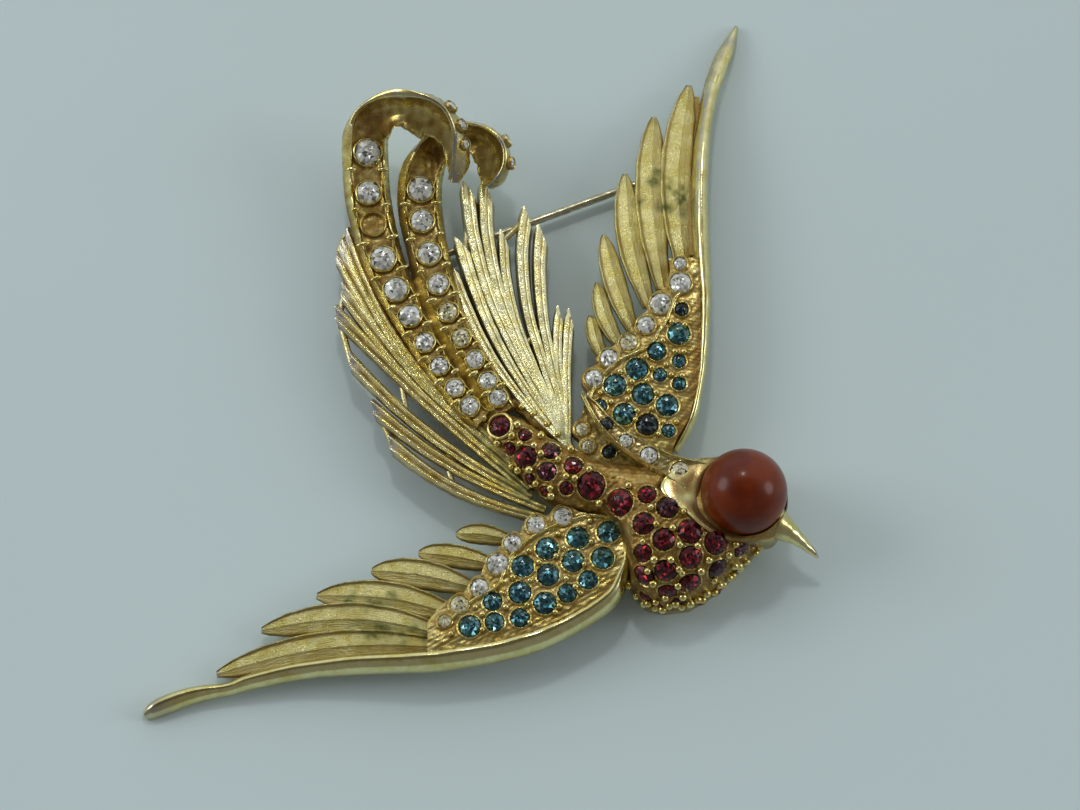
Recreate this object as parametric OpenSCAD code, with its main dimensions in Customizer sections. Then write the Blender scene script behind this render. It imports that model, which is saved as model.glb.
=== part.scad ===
// Bird brooch: a flying bird in cast metal, set with cut stones, with a round cabochon for its head.
// Lengths are millimetres. The brooch lies face up: +X runs to the beak, +Y to the upper wing's tip,
// and +Z rises off the surface that it lies on.

/* [Body] */
// Length of the body along X, from the rump's point to the throat
body_len = 28.8; // [25:0.2:33]
// Depth of the body along Y, from the rump's upper edge to the breast's lower edge
body_w = 20; // [17:0.2:24]
// Height of the breast's top above the surface
body_h = 8.4; // [7:0.1:10]
// Height of the rump's underside above the surface
rump_lift = 2.9; // [2:0.1:3.4]
// Running gap between two castings that are set against each other
fit_gap = 0.1; // [0.06:0.01:0.2]

/* [Head] */
// Radius of the cabochon
cabochon_r = 4.3; // [3.6:0.1:5]
// Height of the cabochon's centre above the surface
cabochon_z = 7.8; // [7:0.1:9]
// Wall of the cup that holds the cabochon
cup_wall = 0.6; // [0.5:0.05:1]
// Distance of the cup's centre behind the cabochon's
cup_back = 0.5; // [0:0.05:0.7]
// Gap between the cabochon and its cup
cabochon_gap = 0.1; // [0.08:0.01:0.15]
// Length of the beak
beak_len = 5.2; // [4:0.1:8]
// Width of the beak at its root
beak_w = 3.2; // [2.4:0.1:4]
// Height of the beak at its root
beak_h = 2.8; // [2:0.1:3.6]

/* [Crest] */
// Reach of the crest along X, from its tip to the cup
crest_len = 12.5; // [10:0.1:14]
// Reach of the crest along Y, from its tip to the cup
crest_drop = 9.6; // [8:0.1:11]
// Width of the crest where it meets the cup
crest_w = 6; // [4:0.1:7]
// Height of the crest's top above the surface
crest_top = 8.1; // [7:0.1:9]

/* [Upper wing] */
// Length of the upper wing along Y, from its root to its tip
upper_wing_len = 45.3; // [38:0.5:52]
// Unit of breadth of the upper wing along X, from its leading edge to its last short feather
upper_wing_w = 10; // [8:0.1:12]
// Width of the upper wing's leading edge rail
upper_rail_w = 1.8; // [1.4:0.1:2.4]

/* [Lower wing] */
// Length of the lower wing along X, from its root to its tip
lower_wing_len = 48; // [40:0.5:54]
// Depth of the lower wing along Y, from its shoulder to its tip
lower_wing_w = 20; // [17:0.2:23]
// Width of the lower wing's leading edge rail
lower_rail_w = 1.9; // [1.4:0.1:2.4]

/* [Wing build] */
// Height of the wings' underside above the surface, at their roots
wing_lift = 3.2; // [2.8:0.1:3.8]
// Height of the leading edge rails, from underside to ridge
rail_h = 2.2; // [1.6:0.1:2.8]
// Thickness of the wings' stone fields
field_t = 1.7; // [1.3:0.1:2.2]
// Fall of a stone field from the leading edge to the feathers
field_sag = 0.5; // [0.2:0.1:0.9]
// Thickness of a feather at its ridge
feather_t = 1.1; // [0.8:0.1:1.5]
// Step from the back of a rail up to the back of the stone field
field_step = 0.16; // [0.1:0.02:0.3]
// Step from the back of a rail up to the back of the feathers
feather_step = 0.08; // [0.04:0.02:0.2]

/* [Tail fans] */
// Length of the right fan's longest rib
right_fan_len = 30; // [25:0.5:34]
// Reach of the left fan along X
left_fan_w = 20.7; // [18:0.1:23]
// Reach of the left fan along Y
left_fan_len = 30.7; // [26:0.1:34]
// Width of a rib at its outer end
rib_w = 1.7; // [1.2:0.05:1.9]
// Height of a rib
rib_h = 1.3; // [1:0.1:1.8]
// Height of the ribs' underside where they meet the body
fan_root_z = 3.6; // [3.3:0.1:4.2]
// Height of the ribs' underside at their outer ends
fan_tip_z = 2.5; // [2.4:0.1:3.2]

/* [Plumes] */
// Length of the left plume along Y, from its root to the top of its hook
left_plume_len = 32.3; // [28:0.1:36]
// Breadth of the left plume along X
left_plume_w = 12; // [10:0.1:14]
// Length of the right plume along Y, from its root to the top of its hook
right_plume_len = 30.3; // [27:0.1:34]
// Breadth of the right plume along X
right_plume_w = 8.6; // [7.4:0.1:10]
// Width of a plume's channel at its widest
channel_w = 4.3; // [3.6:0.1:4.6]
// Height of a plume's channel section
channel_h = 1.8; // [1.4:0.1:2.2]
// Height of the left hook's middle line above the surface
left_hook_z = 9.3; // [8.4:0.1:10.5]
// Height of the right hook's middle line above the surface
right_hook_z = 6.4; // [5.8:0.1:6.9]

/* [Stones] */
// Diameter of the largest stones of the body and wings
stone_l = 2.15; // [1.8:0.05:2.4]
// Diameter of the middle stones of the body and wings
stone_m = 1.8; // [1.5:0.05:2]
// Diameter of the small stones of the body and wings
stone_s = 1.3; // [1:0.05:1.5]
// Diameter of the largest stones of the plumes
plume_stone = 2.7; // [2.2:0.05:2.8]
// Gap between a stone and the wall of its seat
seat_gap = 0.06; // [0.04:0.01:0.1]
// Least gap between the girdles of two stones
stone_gap = 0.15; // [0.12:0.01:0.3]

/* [Pin] */
// Diameter of the pin stem
pin_d = 0.8; // [0.6:0.05:1]
// Length of the pin stem, from the hinge axis to its point
pin_len = 35; // [32:0.5:36]
// Direction of the pin stem in plan, from the X axis
pin_angle = 21; // [19:0.5:23]
// Height of the pin stem's axis above the surface
pin_z = 1.3; // [1.2:0.05:1.4]
// Length of the pin stem's tapered point
point_len = 3; // [2:0.1:5]
// Outer diameter of the knuckle at the hinge end
knuckle_d = 1.7; // [1.5:0.05:1.75]
// Length of the knuckle along the hinge axis
knuckle_len = 1.6; // [1.2:0.1:2]
// Diameter of the hinge rivet
rivet_d = 0.7; // [0.5:0.05:0.8]
// Running clearance at the rivet, the ears and the catch
pin_gap = 0.1; // [0.06:0.01:0.15]
// Thickness of the hinge ears and the catch's cheeks
sheet_t = 0.5; // [0.4:0.05:0.7]

/* [Hidden] */

// Outer radius of the head cup
cup_r = cabochon_r + cabochon_gap + cup_wall;

// Places of the pieces' own origins, in millimetres from the middle of the brooch
body_at = [0.3, -5.6];
head_at = [body_at[0] + 0.885 * body_len, body_at[1] - 0.47 * body_w];
crest_at = [head_at[0] - 0.7 * cup_r - crest_len, head_at[1] + 0.22 * cup_r + crest_drop];
upper_wing_at = [20.6, -8.9];
lower_wing_at = [body_at[0] + 0.49 * body_len, body_at[1] - 0.72 * body_w + 0.171 * lower_wing_w];
right_fan_at = [8.4, -9.4];
left_fan_at = [5.1, -16.7];
left_plume_at = [0, -6.8];
right_plume_at = [2.1, -6];
hinge_at = [-12, 8.6];

gold = [0.83, 0.68, 0.33];
steel = [0.62, 0.62, 0.58];
carnelian = [0.48, 0.12, 0.07];
ruby = [0.6, 0.04, 0.09];
montana = [0.16, 0.36, 0.44];
crystal = [0.88, 0.9, 0.9];

// Columns: along body_len, upper edge and lower edge along body_w, then top, upper rim, lower rim
// as shares of body_h, and the underside as a share of rump_lift
body_rows = [
    [0.000, 0.040, 0.115, 0.60, 0.50, 0.50, 1.0],
    [0.045, 0.010, 0.210, 0.70, 0.50, 0.48, 1.0],
    [0.130, 0.055, 0.380, 0.74, 0.50, 0.48, 1.0],
    [0.220, 0.147, 0.485, 0.77, 0.50, 0.48, 1.0],
    [0.305, 0.210, 0.520, 0.79, 0.52, 0.48, 1.0],
    [0.390, 0.270, 0.540, 0.83, 0.56, 0.46, 0.9],
    [0.455, 0.290, 0.620, 0.88, 0.62, 0.40, 0.6],
    [0.500, 0.300, 0.905, 0.93, 0.66, 0.25, 0.2],
    [0.550, 0.310, 0.980, 0.97, 0.70, 0.19, 0.0],
    [0.615, 0.320, 1.000, 1.00, 0.72, 0.17, 0.0],
    [0.700, 0.340, 0.985, 1.00, 0.74, 0.17, 0.0],
    [0.790, 0.360, 0.905, 0.96, 0.74, 0.19, 0.0],
    [0.880, 0.380, 0.780, 0.85, 0.70, 0.23, 0.1],
    [0.950, 0.410, 0.680, 0.72, 0.60, 0.28, 0.3],
    [1.000, 0.460, 0.600, 0.58, 0.50, 0.35, 0.6]];

// Columns: along crest_len, down crest_drop, width as a share of crest_w, top as a share of crest_top,
// depth of the band below its top as a share of crest_top
crest_rows = [
    [0.00, 0.00, 0.06, 0.74, 0.08],
    [0.08, 0.14, 0.20, 0.82, 0.14],
    [0.17, 0.32, 0.27, 0.88, 0.20],
    [0.29, 0.49, 0.33, 0.92, 0.24],
    [0.42, 0.62, 0.36, 0.94, 0.26],
    [0.56, 0.73, 0.39, 0.96, 0.36],
    [0.72, 0.84, 0.46, 0.98, 0.50],
    [0.86, 0.92, 0.58, 0.98, 0.56],
    [1.00, 1.02, 0.80, 0.95, 0.60]];

// Columns: along the wing, across it, width as a share of the rail's, height as a share of rail_h
upper_rail_rows = [
    [-0.02, -0.16, 0.40, 0.75],
    [0.05, 0.00, 0.65, 0.90],
    [0.11, 0.07, 0.60, 1.00],
    [0.17, 0.11, 0.65, 1.00],
    [0.24, 0.13, 0.75, 1.00],
    [0.33, 0.14, 0.85, 1.00],
    [0.45, 0.12, 1.00, 1.00],
    [0.57, 0.11, 1.00, 0.95],
    [0.67, 0.13, 0.95, 0.90],
    [0.75, 0.17, 0.85, 0.80],
    [0.83, 0.235, 0.90, 0.72],
    [0.90, 0.335, 0.95, 0.65],
    [0.95, 0.425, 0.75, 0.55],
    [1.00, 0.51, 0.20, 0.35]];
lower_rail_rows = [
    [0.120, 0.035, 0.20, 0.75],
    [0.080, 0.008, 0.27, 0.80],
    [0.038, 0.022, 0.30, 0.85],
    [0.013, 0.090, 0.35, 0.90],
    [0.004, 0.200, 0.50, 0.95],
    [0.012, 0.290, 0.70, 1.00],
    [0.033, 0.400, 0.90, 1.00],
    [0.075, 0.483, 1.00, 1.00],
    [0.146, 0.580, 1.05, 1.00],
    [0.215, 0.645, 1.10, 1.00],
    [0.319, 0.700, 1.10, 1.00],
    [0.423, 0.730, 1.05, 1.00],
    [0.569, 0.740, 0.95, 0.90],
    [0.683, 0.765, 0.85, 0.80],
    [0.785, 0.815, 0.75, 0.75],
    [0.829, 0.845, 0.64, 0.65],
    [0.894, 0.870, 0.80, 0.75],
    [0.942, 0.905, 0.90, 0.80],
    [0.980, 0.945, 0.80, 0.75],
    [1.000, 0.975, 0.40, 0.50]];

// Columns: along the wing, underside as a share of wing_lift
upper_lift_rows = [
    [-0.10, 1.00], [0.30, 0.97], [0.50, 0.88], [0.65, 0.76], [0.75, 0.56], [0.87, 0.27], [1.00, 0.00]];
lower_lift_rows = [
    [0.00, 1.00], [0.25, 0.95], [0.45, 0.80], [0.60, 0.60], [0.75, 0.36], [0.88, 0.12], [1.00, 0.00]];

// Columns: along the wing, then the stone field's feather side and rail side across the wing
upper_field_rows = [
    [-0.090, -0.90, -0.30],
    [-0.047, -1.07, -0.22],
    [0.000, -1.16, -0.14],
    [0.047, -1.22, -0.02],
    [0.095, -1.20, 0.04],
    [0.142, -1.10, 0.08],
    [0.189, -0.95, 0.10],
    [0.225, -0.72, 0.11],
    [0.265, -0.55, 0.11],
    [0.317, -0.43, 0.11],
    [0.369, -0.26, 0.11],
    [0.421, -0.22, 0.10]];
lower_field_rows = [
    [0.006, 0.110, 0.260],
    [0.027, 0.030, 0.340],
    [0.064, -0.002, 0.450],
    [0.100, -0.015, 0.510],
    [0.135, -0.055, 0.560],
    [0.192, -0.015, 0.620],
    [0.240, 0.078, 0.650],
    [0.267, 0.160, 0.665],
    [0.288, 0.220, 0.675],
    [0.319, 0.310, 0.690],
    [0.356, 0.395, 0.710],
    [0.392, 0.468, 0.720],
    [0.415, 0.540, 0.730]];

// Columns: tip along and across the wing, root along and across it, width in shares of the upper
// wing's breadth, bow away from the leading edge as a share of the feather's length
upper_feathers = [
    [0.851, 0.020, 0.385, -0.03, 0.28, 0.055],
    [0.771, -0.340, 0.355, -0.26, 0.26, 0.045],
    [0.631, -0.640, 0.315, -0.40, 0.23, 0.050],
    [0.485, -0.860, 0.255, -0.56, 0.20, 0.030],
    [0.374, -0.930, 0.215, -0.68, 0.16, 0.060],
    [0.296, -1.000, 0.190, -0.86, 0.14, 0.030]];
lower_feathers = [
    [0.852, 0.765, 0.380, 0.660, 0.27, 0.060],
    [0.760, 0.548, 0.370, 0.605, 0.27, 0.080],
    [0.646, 0.380, 0.350, 0.503, 0.27, 0.060],
    [0.533, 0.257, 0.325, 0.355, 0.25, 0.045],
    [0.435, 0.170, 0.280, 0.240, 0.20, 0.030],
    [0.358, 0.076, 0.245, 0.115, 0.17, 0.050]];

// Columns: along a feather from root to tip, its width and its thickness, as shares of the full ones
feather_rows = [
    [0.00, 0.60, 0.90], [0.15, 0.80, 1.00], [0.35, 1.00, 1.00], [0.60, 1.00, 0.95],
    [0.80, 0.88, 0.85], [0.92, 0.62, 0.72], [1.00, 0.14, 0.50]];

// Columns: direction of the rib's tip in degrees, length as a share of the fan's, bow in degrees,
// width as a share of rib_w, sweep of its root towards the left plume in degrees
right_ribs = [
    [121.4, 0.78, 3.5, 0.95, 18],
    [116.2, 0.83, 3.6, 1.00, 13],
    [109.8, 1.00, 5.2, 1.05, 9],
    [106.3, 0.98, 6.0, 1.05, 6],
    [105.6, 0.80, 5.4, 0.80, 4],
    [98.9, 0.86, 6.4, 1.00, 3],
    [96.2, 0.79, 4.2, 1.00, 1],
    [92.5, 0.50, 4.2, 0.80, 0],
    [88.5, 0.49, 2.6, 0.80, 0]];

// Columns: tip across and along the fan, root across and along it, bow as a share of the rib's
// length, width as a share of rib_w
left_ribs = [
    [0.942, 1.000, 0.217, 0.261, 0.079, 1.05],
    [0.976, 0.943, 0.169, 0.228, 0.069, 1.10],
    [0.966, 0.808, 0.150, 0.189, 0.040, 1.00],
    [1.000, 0.723, 0.087, 0.121, 0.015, 1.00],
    [0.932, 0.564, 0.072, 0.085, 0.045, 1.00],
    [0.821, 0.400, 0.000, 0.040, 0.050, 1.00],
    [0.739, 0.283, 0.020, 0.005, 0.070, 1.05]];

// Columns: first rib, second rib, share of the ribs' lengths at which a bar ties them
right_ties = [
    [0, 1, 0.30], [1, 2, 0.34], [2, 3, 0.38], [3, 4, 0.42], [4, 5, 0.40],
    [5, 6, 0.42], [6, 7, 0.46], [7, 8, 0.50], [1, 2, 0.80], [4, 5, 0.88]];
left_ties = [
    [0, 1, 0.50], [1, 2, 0.50], [2, 3, 0.34], [3, 4, 0.50], [4, 5, 0.34],
    [5, 6, 0.40], [0, 1, 0.90], [1, 2, 0.80], [2, 3, 0.86], [3, 4, 0.86], [5, 6, 0.80]];

// Columns: across and along the plume, height as a share of the hook's, width as a share of
// channel_w, roll of the channel in degrees
left_plume_rows = [
    [0.000, 0.000, 0.54, 0.50, 0],
    [-0.117, 0.038, 0.53, 0.55, 0],
    [-0.358, 0.163, 0.51, 0.60, 0],
    [-0.600, 0.320, 0.49, 0.72, 0],
    [-0.833, 0.505, 0.47, 0.88, 0],
    [-0.967, 0.700, 0.47, 0.97, 4],
    [-1.000, 0.865, 0.51, 1.00, 18],
    [-0.983, 0.945, 0.68, 0.92, 42],
    [-0.842, 0.974, 0.88, 0.82, 58],
    [-0.658, 0.983, 0.99, 0.76, 72],
    [-0.467, 0.980, 1.00, 0.72, 92],
    [-0.325, 0.944, 0.92, 0.72, 112],
    [-0.217, 0.884, 0.80, 0.66, 124],
    [-0.217, 0.818, 0.70, 0.46, 128],
    [-0.258, 0.759, 0.63, 0.12, 130]];
right_plume_rows = [
    [0.000, 0.000, 0.76, 0.50, 0],
    [-0.081, 0.046, 0.75, 0.53, 0],
    [-0.337, 0.172, 0.72, 0.58, 0],
    [-0.605, 0.304, 0.69, 0.66, 0],
    [-0.779, 0.442, 0.67, 0.77, 0],
    [-0.919, 0.581, 0.66, 0.88, 0],
    [-1.000, 0.720, 0.66, 0.95, 4],
    [-0.977, 0.832, 0.68, 0.93, 20],
    [-0.837, 0.917, 0.76, 0.80, 40],
    [-0.674, 0.955, 0.80, 0.64, 55],
    [-0.488, 0.965, 0.90, 0.60, 68],
    [-0.290, 0.955, 1.00, 0.62, 88],
    [-0.116, 0.925, 0.99, 0.64, 108],
    [-0.035, 0.894, 0.90, 0.60, 122],
    [-0.093, 0.840, 0.81, 0.42, 128],
    [-0.198, 0.800, 0.75, 0.12, 130]];

// Columns: along body_len, down body_w, diameter
rubies = [
    [0.046, 0.105, stone_l], [0.132, 0.153, stone_s], [0.078, 0.222, stone_s], [0.134, 0.270, stone_l],
    [0.222, 0.236, stone_m], [0.208, 0.346, stone_m], [0.299, 0.318, stone_m], [0.150, 0.376, stone_s],
    [0.202, 0.440, stone_s], [0.275, 0.432, stone_s], [0.361, 0.424, 1.25 * stone_l],
    [0.458, 0.521, 1.25 * stone_l], [0.552, 0.486, stone_m], [0.622, 0.556, stone_l],
    [0.540, 0.636, stone_l], [0.698, 0.679, 1.1 * stone_l], [0.608, 0.720, stone_l],
    [0.789, 0.728, 1.1 * stone_l], [0.536, 0.780, stone_m], [0.701, 0.806, stone_l],
    [0.877, 0.735, stone_m], [0.540, 0.880, stone_l], [0.615, 0.866, stone_l], [0.795, 0.840, stone_l],
    [0.865, 0.800, stone_s], [0.700, 0.916, stone_l], [0.622, 0.948, stone_m], [0.545, 0.956, stone_s],
    [0.660, 0.976, stone_s], [0.745, 0.950, stone_s], [0.793, 0.905, stone_s], [0.922, 0.690, stone_s],
    [0.585, 0.984, stone_s]];

// Columns: along the wing, across it, diameter
upper_blues = [
    [0.300, -0.080, stone_s], [0.243, -0.110, stone_l], [0.203, -0.330, stone_m],
    [0.180, -0.110, stone_s], [0.163, -0.530, stone_l], [0.148, -0.300, stone_s],
    [0.128, -0.110, stone_s], [0.125, -0.750, stone_l], [0.104, -0.470, stone_l],
    [0.078, -0.900, stone_s], [0.078, -0.230, stone_l], [0.058, -0.660, stone_l],
    [0.034, -0.430, stone_l], [0.020, -0.220, stone_s], [-0.028, -0.810, stone_s]];
lower_blues = [
    [0.042, 0.090, stone_l], [0.105, 0.120, stone_l], [0.169, 0.175, stone_l],
    [0.054, 0.225, stone_l], [0.219, 0.265, stone_l], [0.115, 0.240, stone_l],
    [0.167, 0.310, stone_l], [0.084, 0.338, stone_m], [0.225, 0.400, stone_l],
    [0.127, 0.405, stone_m], [0.173, 0.455, stone_l], [0.281, 0.445, stone_m],
    [0.225, 0.530, stone_m], [0.277, 0.550, stone_m], [0.328, 0.570, stone_l]];
upper_crystals = [
    [0.407, -0.090, stone_s], [0.362, -0.090, stone_l], [0.315, -0.290, stone_l],
    [0.265, -0.440, stone_m], [0.225, -0.610, stone_m], [0.189, -0.810, stone_m],
    [0.142, -0.960, stone_m], [0.026, -1.080, stone_s], [-0.014, -1.020, stone_s]];
lower_crystals = [
    [0.137, 0.008, stone_m], [0.192, 0.050, stone_m], [0.240, 0.145, stone_m],
    [0.271, 0.250, stone_l], [0.308, 0.370, stone_m], [0.350, 0.455, stone_m],
    [0.380, 0.540, stone_s]];

// Columns: share of the crest's length from its tip, diameter
crest_stone_rows = [[0.28, stone_s], [0.43, stone_s], [0.60, stone_m], [0.80, stone_m]];

// Columns: share of the plume's length from its root, diameter as a share of plume_stone
left_plume_stones = [
    [0.072, 0.68], [0.110, 0.66], [0.146, 0.66], [0.183, 0.70], [0.220, 0.82], [0.254, 0.88],
    [0.292, 0.92], [0.372, 0.86], [0.432, 0.98]];
right_plume_stones = [
    [0.066, 0.64], [0.100, 0.64], [0.136, 0.66], [0.175, 0.68], [0.220, 0.70], [0.267, 0.76],
    [0.318, 0.84], [0.372, 0.84], [0.430, 0.92]];
// The same columns for the small stones on the back of each hook's fall
left_hook_stones = [[0.770, 0.44], [0.825, 0.44], [0.875, 0.36]];
right_hook_stones = [[0.800, 0.42], [0.862, 0.40]];

// Sections, as shares of width and height about the middle of the strip
rail_section = [[-0.5, -0.5], [-0.5, 0.1], [-0.3, 0.45], [0, 0.5], [0.35, 0.2], [0.5, -0.2], [0.5, -0.5]];
rib_section = [[-0.5, -0.5], [-0.5, 0], [0, 0.5], [0.5, 0], [0.5, -0.5]];
feather_section = [[-0.5, -0.5], [-0.5, 0.15], [-0.32, 0.5], [0.1, 0.3], [0.5, -0.1], [0.5, -0.5]];
crest_section = [[-0.5, -0.5], [-0.5, 0.42], [-0.42, 0.5], [-0.3, 0.36], [0.5, 0.3], [0.5, -0.5]];
channel_section = [
    [-0.5, -0.5], [-0.5, 0.5], [-0.38, 0.5], [-0.32, 0.1], [0.32, 0.1], [0.38, 0.5], [0.5, 0.5], [0.5, -0.5]];
block_section = [[-0.5, -0.5], [-0.5, 0.5], [0.5, 0.5], [0.5, -0.5]];
// Level of the stones' girdles in a channel and on the crest, as a share of the section's height
channel_seat = 0.38;
crest_seat = 0.33;

// Proportions of a cut stone, as shares of its diameter
table_share = 0.56;
crown_share = 0.16;
pavilion_share = 0.4;
stone_sides = 8;

upper_frame = [upper_wing_at, [0, 1], [1, 0], upper_wing_len, upper_wing_w];
lower_frame = [lower_wing_at, [-1, 0], [0, -1], lower_wing_len, lower_wing_w];

function unit(v) = v / norm(v);
function column(rows, k) = [for (row = rows) [row[0], row[k]]];
function clamp(v, low, high) = min(max(v, low), high);

// A row between the rows of a table, on a smooth curve through them, at share t of the table
function row_at(rows, t) =
    let (last = len(rows) - 1)
    let (i = clamp(floor(t * last), 0, last - 1))
    let (f = t * last - i)
    let (a = rows[max(i - 1, 0)], b = rows[i], c = rows[i + 1], d = rows[min(i + 2, last)])
    b + 0.5 * f * ((c - a) + f * ((2 * a - 5 * b + 4 * c - d) + f * (3 * (b - c) + d - a)));

function point_of(row) = [row[0], row[1], row[2]];

// The directions across and out of a strip at share t. A strip without a roll column has upright
// sections, and one with it is rolled about its own length.
function strip_axes(rows, t) =
    let (step = 0.01)
    let (dir = unit(point_of(row_at(rows, min(t + step, 1)) - row_at(rows, max(t - step, 0)))))
    let (side = unit([-dir[1], dir[0], 0]))
    len(rows[0]) < 6 ? [side, [0, 0, 1]] :
    let (up = cross(dir, side), roll = row_at(rows, t)[5])
    [side * cos(roll) + up * sin(roll), up * cos(roll) - side * sin(roll)];

// One section of a strip whose rows are x, y, z of its middle, width, height and perhaps roll.
// A strip that is grown for clearance also reaches past both of its ends.
function strip_ring(rows, t, section, grow) =
    let (row = row_at(rows, t))
    let (axes = strip_axes(rows, t))
    let (past = cross(axes[0], axes[1]) * grow * (t == 0 ? -1 : t == 1 ? 1 : 0))
    [for (s = section) point_of(row) + past
        + axes[0] * s[0] * (row[3] + 2 * grow) + axes[1] * s[1] * (row[4] + 2 * grow)];

function strip(rows, section, steps, grow = 0) =
    [for (i = [0 : steps]) strip_ring(rows, i / steps, section, grow)];

// Six times the volume that closed faces hold, signed by the direction in which they run
function signed_volume(points, faces) =
    let (parts = [for (f = faces, k = [1 : len(f) - 2]) points[f[0]] * cross(points[f[k]], points[f[k + 1]])])
    parts * [for (p = parts) 1];

// A closed solid through rings of points, each ring with as many points as the first
module skin(rings) {
    n = len(rings[0]);
    last = len(rings) - 1;
    points = [for (ring = rings) each ring];
    sides = [for (i = [0 : last - 1], j = [0 : n - 1])
        each [[i * n + j, i * n + (j + 1) % n, (i + 1) * n + (j + 1) % n],
              [i * n + j, (i + 1) * n + (j + 1) % n, (i + 1) * n + j]]];
    start = [for (j = [n - 1 : -1 : 0]) j];
    end = [for (j = [0 : n - 1]) last * n + j];
    faces = concat(sides, [start, end]);
    outward = signed_volume(points, faces) < 0;
    polyhedron(points, outward ? faces : [for (f = faces) [for (k = [len(f) - 1 : -1 : 0]) f[k]]]);
}

// Puts children at a place, with their own Z along a direction
module stand(at, up) {
    tilt = acos(clamp(up[2], -1, 1));
    translate(at) rotate([0, 0, atan2(up[1], up[0])]) rotate([0, tilt, 0]) children();
}

// Seats are [place, outward direction, diameter of the stone]
// Diameters are eased where two neighbours would touch
function eased(seats) =
    [for (i = [0 : len(seats) - 1])
        let (room = [for (j = [0 : len(seats) - 1]) if (j != i)
            (norm(seats[i][0] - seats[j][0]) - stone_gap) * 2 * seats[i][2] / (seats[i][2] + seats[j][2])])
        [seats[i][0], seats[i][1], min(seats[i][2], min(room))]];

// A cut stone with a flat table, a crown of facets, a girdle and a pointed pavilion
module stone(d) {
    n = stone_sides;
    function loop(r, z) = [for (k = [0 : n - 1]) [r * cos(k * 360 / n), r * sin(k * 360 / n), z]];
    points = concat(loop(table_share * d / 2, crown_share * d), loop(d / 2, 0), [[0, 0, -pavilion_share * d]]);
    table = [[for (k = [n - 1 : -1 : 0]) k]];
    crown = [for (k = [0 : n - 1]) [k, (k + 1) % n, n + (k + 1) % n, n + k]];
    pavilion = [for (k = [0 : n - 1]) [n + k, n + (k + 1) % n, 2 * n]];
    polyhedron(points, concat(table, crown, pavilion));
}

module stones(seats, tint) {
    color(tint) for (s = eased(seats)) stand(s[0], s[1]) stone(s[2]);
}

// Drilled seats for the stones of a field
module seat_cuts(seats) {
    over = 0.45;
    for (s = eased(seats)) {
        r = s[2] / 2 + seat_gap;
        depth = pavilion_share * s[2] + seat_gap;
        stand(s[0], s[1]) hull() {
            translate([0, 0, -depth]) cylinder(r = r, h = depth, $fn = stone_sides);
            cylinder(r = r, h = over * s[2], $fn = stone_sides);
        }
    }
}

// Body

function body_value(a, k) = lookup(a, column(body_rows, k));

// Height of the body's face at a place given in shares of its length and depth
function body_z(a, v) =
    let (upper = body_value(a, 1), lower = body_value(a, 2))
    let (s = clamp((2 * v - upper - lower) / (lower - upper), -1, 1))
    let (rim = body_value(a, s < 0 ? 4 : 5))
    body_h * (rim + (body_value(a, 3) - rim) * sqrt(1 - pow(abs(s), 2.4)));

function body_point(a, v) = [body_at[0] + a * body_len, body_at[1] - v * body_w, body_z(a, v)];

function body_normal(a, v) =
    let (e = 0.02)
    let (along = body_point(a + e, v) - body_point(a - e, v))
    let (down = body_point(a, v + e) - body_point(a, v - e))
    unit(cross(down, along));

function body_ring(row, grow) =
    let (spread = [-1, -0.94, -0.8, -0.5, -0.17, 0.17, 0.5, 0.8, 0.94, 1])
    let (mid = (row[1] + row[2]) / 2, half = (row[2] - row[1]) / 2)
    let (x = body_at[0] + row[0] * body_len)
    let (face = [for (s = spread)
        let (p = body_point(row[0], mid + s * half)) [x, p[1] - sign(s) * grow, p[2] + grow]])
    let (under = row[6] * rump_lift - grow)
    concat(face, [[x, face[9][1], under], [x, face[0][1], under]]);

module body_shell(grow = 0) {
    inner = [for (row = body_rows) body_ring(row, grow)];
    first = [for (p = inner[0]) p - [grow, 0, 0]];
    last = [for (p = inner[len(inner) - 1]) p + [grow, 0, 0]];
    skin(concat([first], [for (i = [1 : len(inner) - 2]) inner[i]], [last]));
}

function ruby_seats() = [for (r = rubies) [body_point(r[0], r[1]), body_normal(r[0], r[1]), r[2]]];

// Head and crest

crest_path = [for (r = crest_rows)
    let (drop = r[4] * crest_top)
    [crest_at[0] + r[0] * crest_len, crest_at[1] - r[1] * crest_drop, r[3] * crest_top - drop / 2,
     r[2] * crest_w, drop]];

module crest_band(grow = 0) {
    skin(strip(crest_path, grow > 0 ? block_section : crest_section, 16, grow));
}

module head_cup(grow = 0) {
    foot_r = 0.7 * cup_r;
    foot_z = 0.3 * cabochon_z;
    rim_z = cabochon_z - 0.5;
    lip = 0.6;
    translate([head_at[0] - cup_back, head_at[1], 0]) hull() {
        translate([0, 0, foot_z]) cylinder(r = foot_r + grow, h = 1, $fn = 24);
        translate([0, 0, rim_z - 2 * lip]) cylinder(r = cup_r + grow, h = lip, $fn = 24);
        translate([0, 0, rim_z - lip + grow]) cylinder(r = cup_r - lip / 4 + grow, h = lip, $fn = 24);
    }
}

module beak() {
    turn = -34;
    fall = 2.2;
    root_z = 5.2;
    root = [head_at[0], head_at[1], 0] + (cabochon_r - 0.9) * [cos(turn), sin(turn), 0];
    reach = beak_len + 0.9;
    dir = [cos(turn), sin(turn), 0];
    rows = [for (t = [0, 0.25, 0.5, 0.75, 1])
        let (p = root + dir * t * reach)
        let (slim = 1 - 0.86 * pow(t, 0.85))
        [p[0], p[1], root_z - fall * pow(t, 1.6), beak_w * slim, beak_h * slim]];
    lens = [[-0.5, 0], [-0.3, 0.35], [0, 0.5], [0.3, 0.35], [0.5, 0], [0.3, -0.4], [-0.3, -0.4]];
    skin(strip(rows, lens, 8));
}

module head_seat() {
    translate([head_at[0], head_at[1], cabochon_z]) sphere(r = cabochon_r + cabochon_gap, $fn = 24);
}

crest_levels = [for (p = crest_path) [p[0], p[1], p[2] + crest_seat * p[4], p[3], p[4]]];

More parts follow.
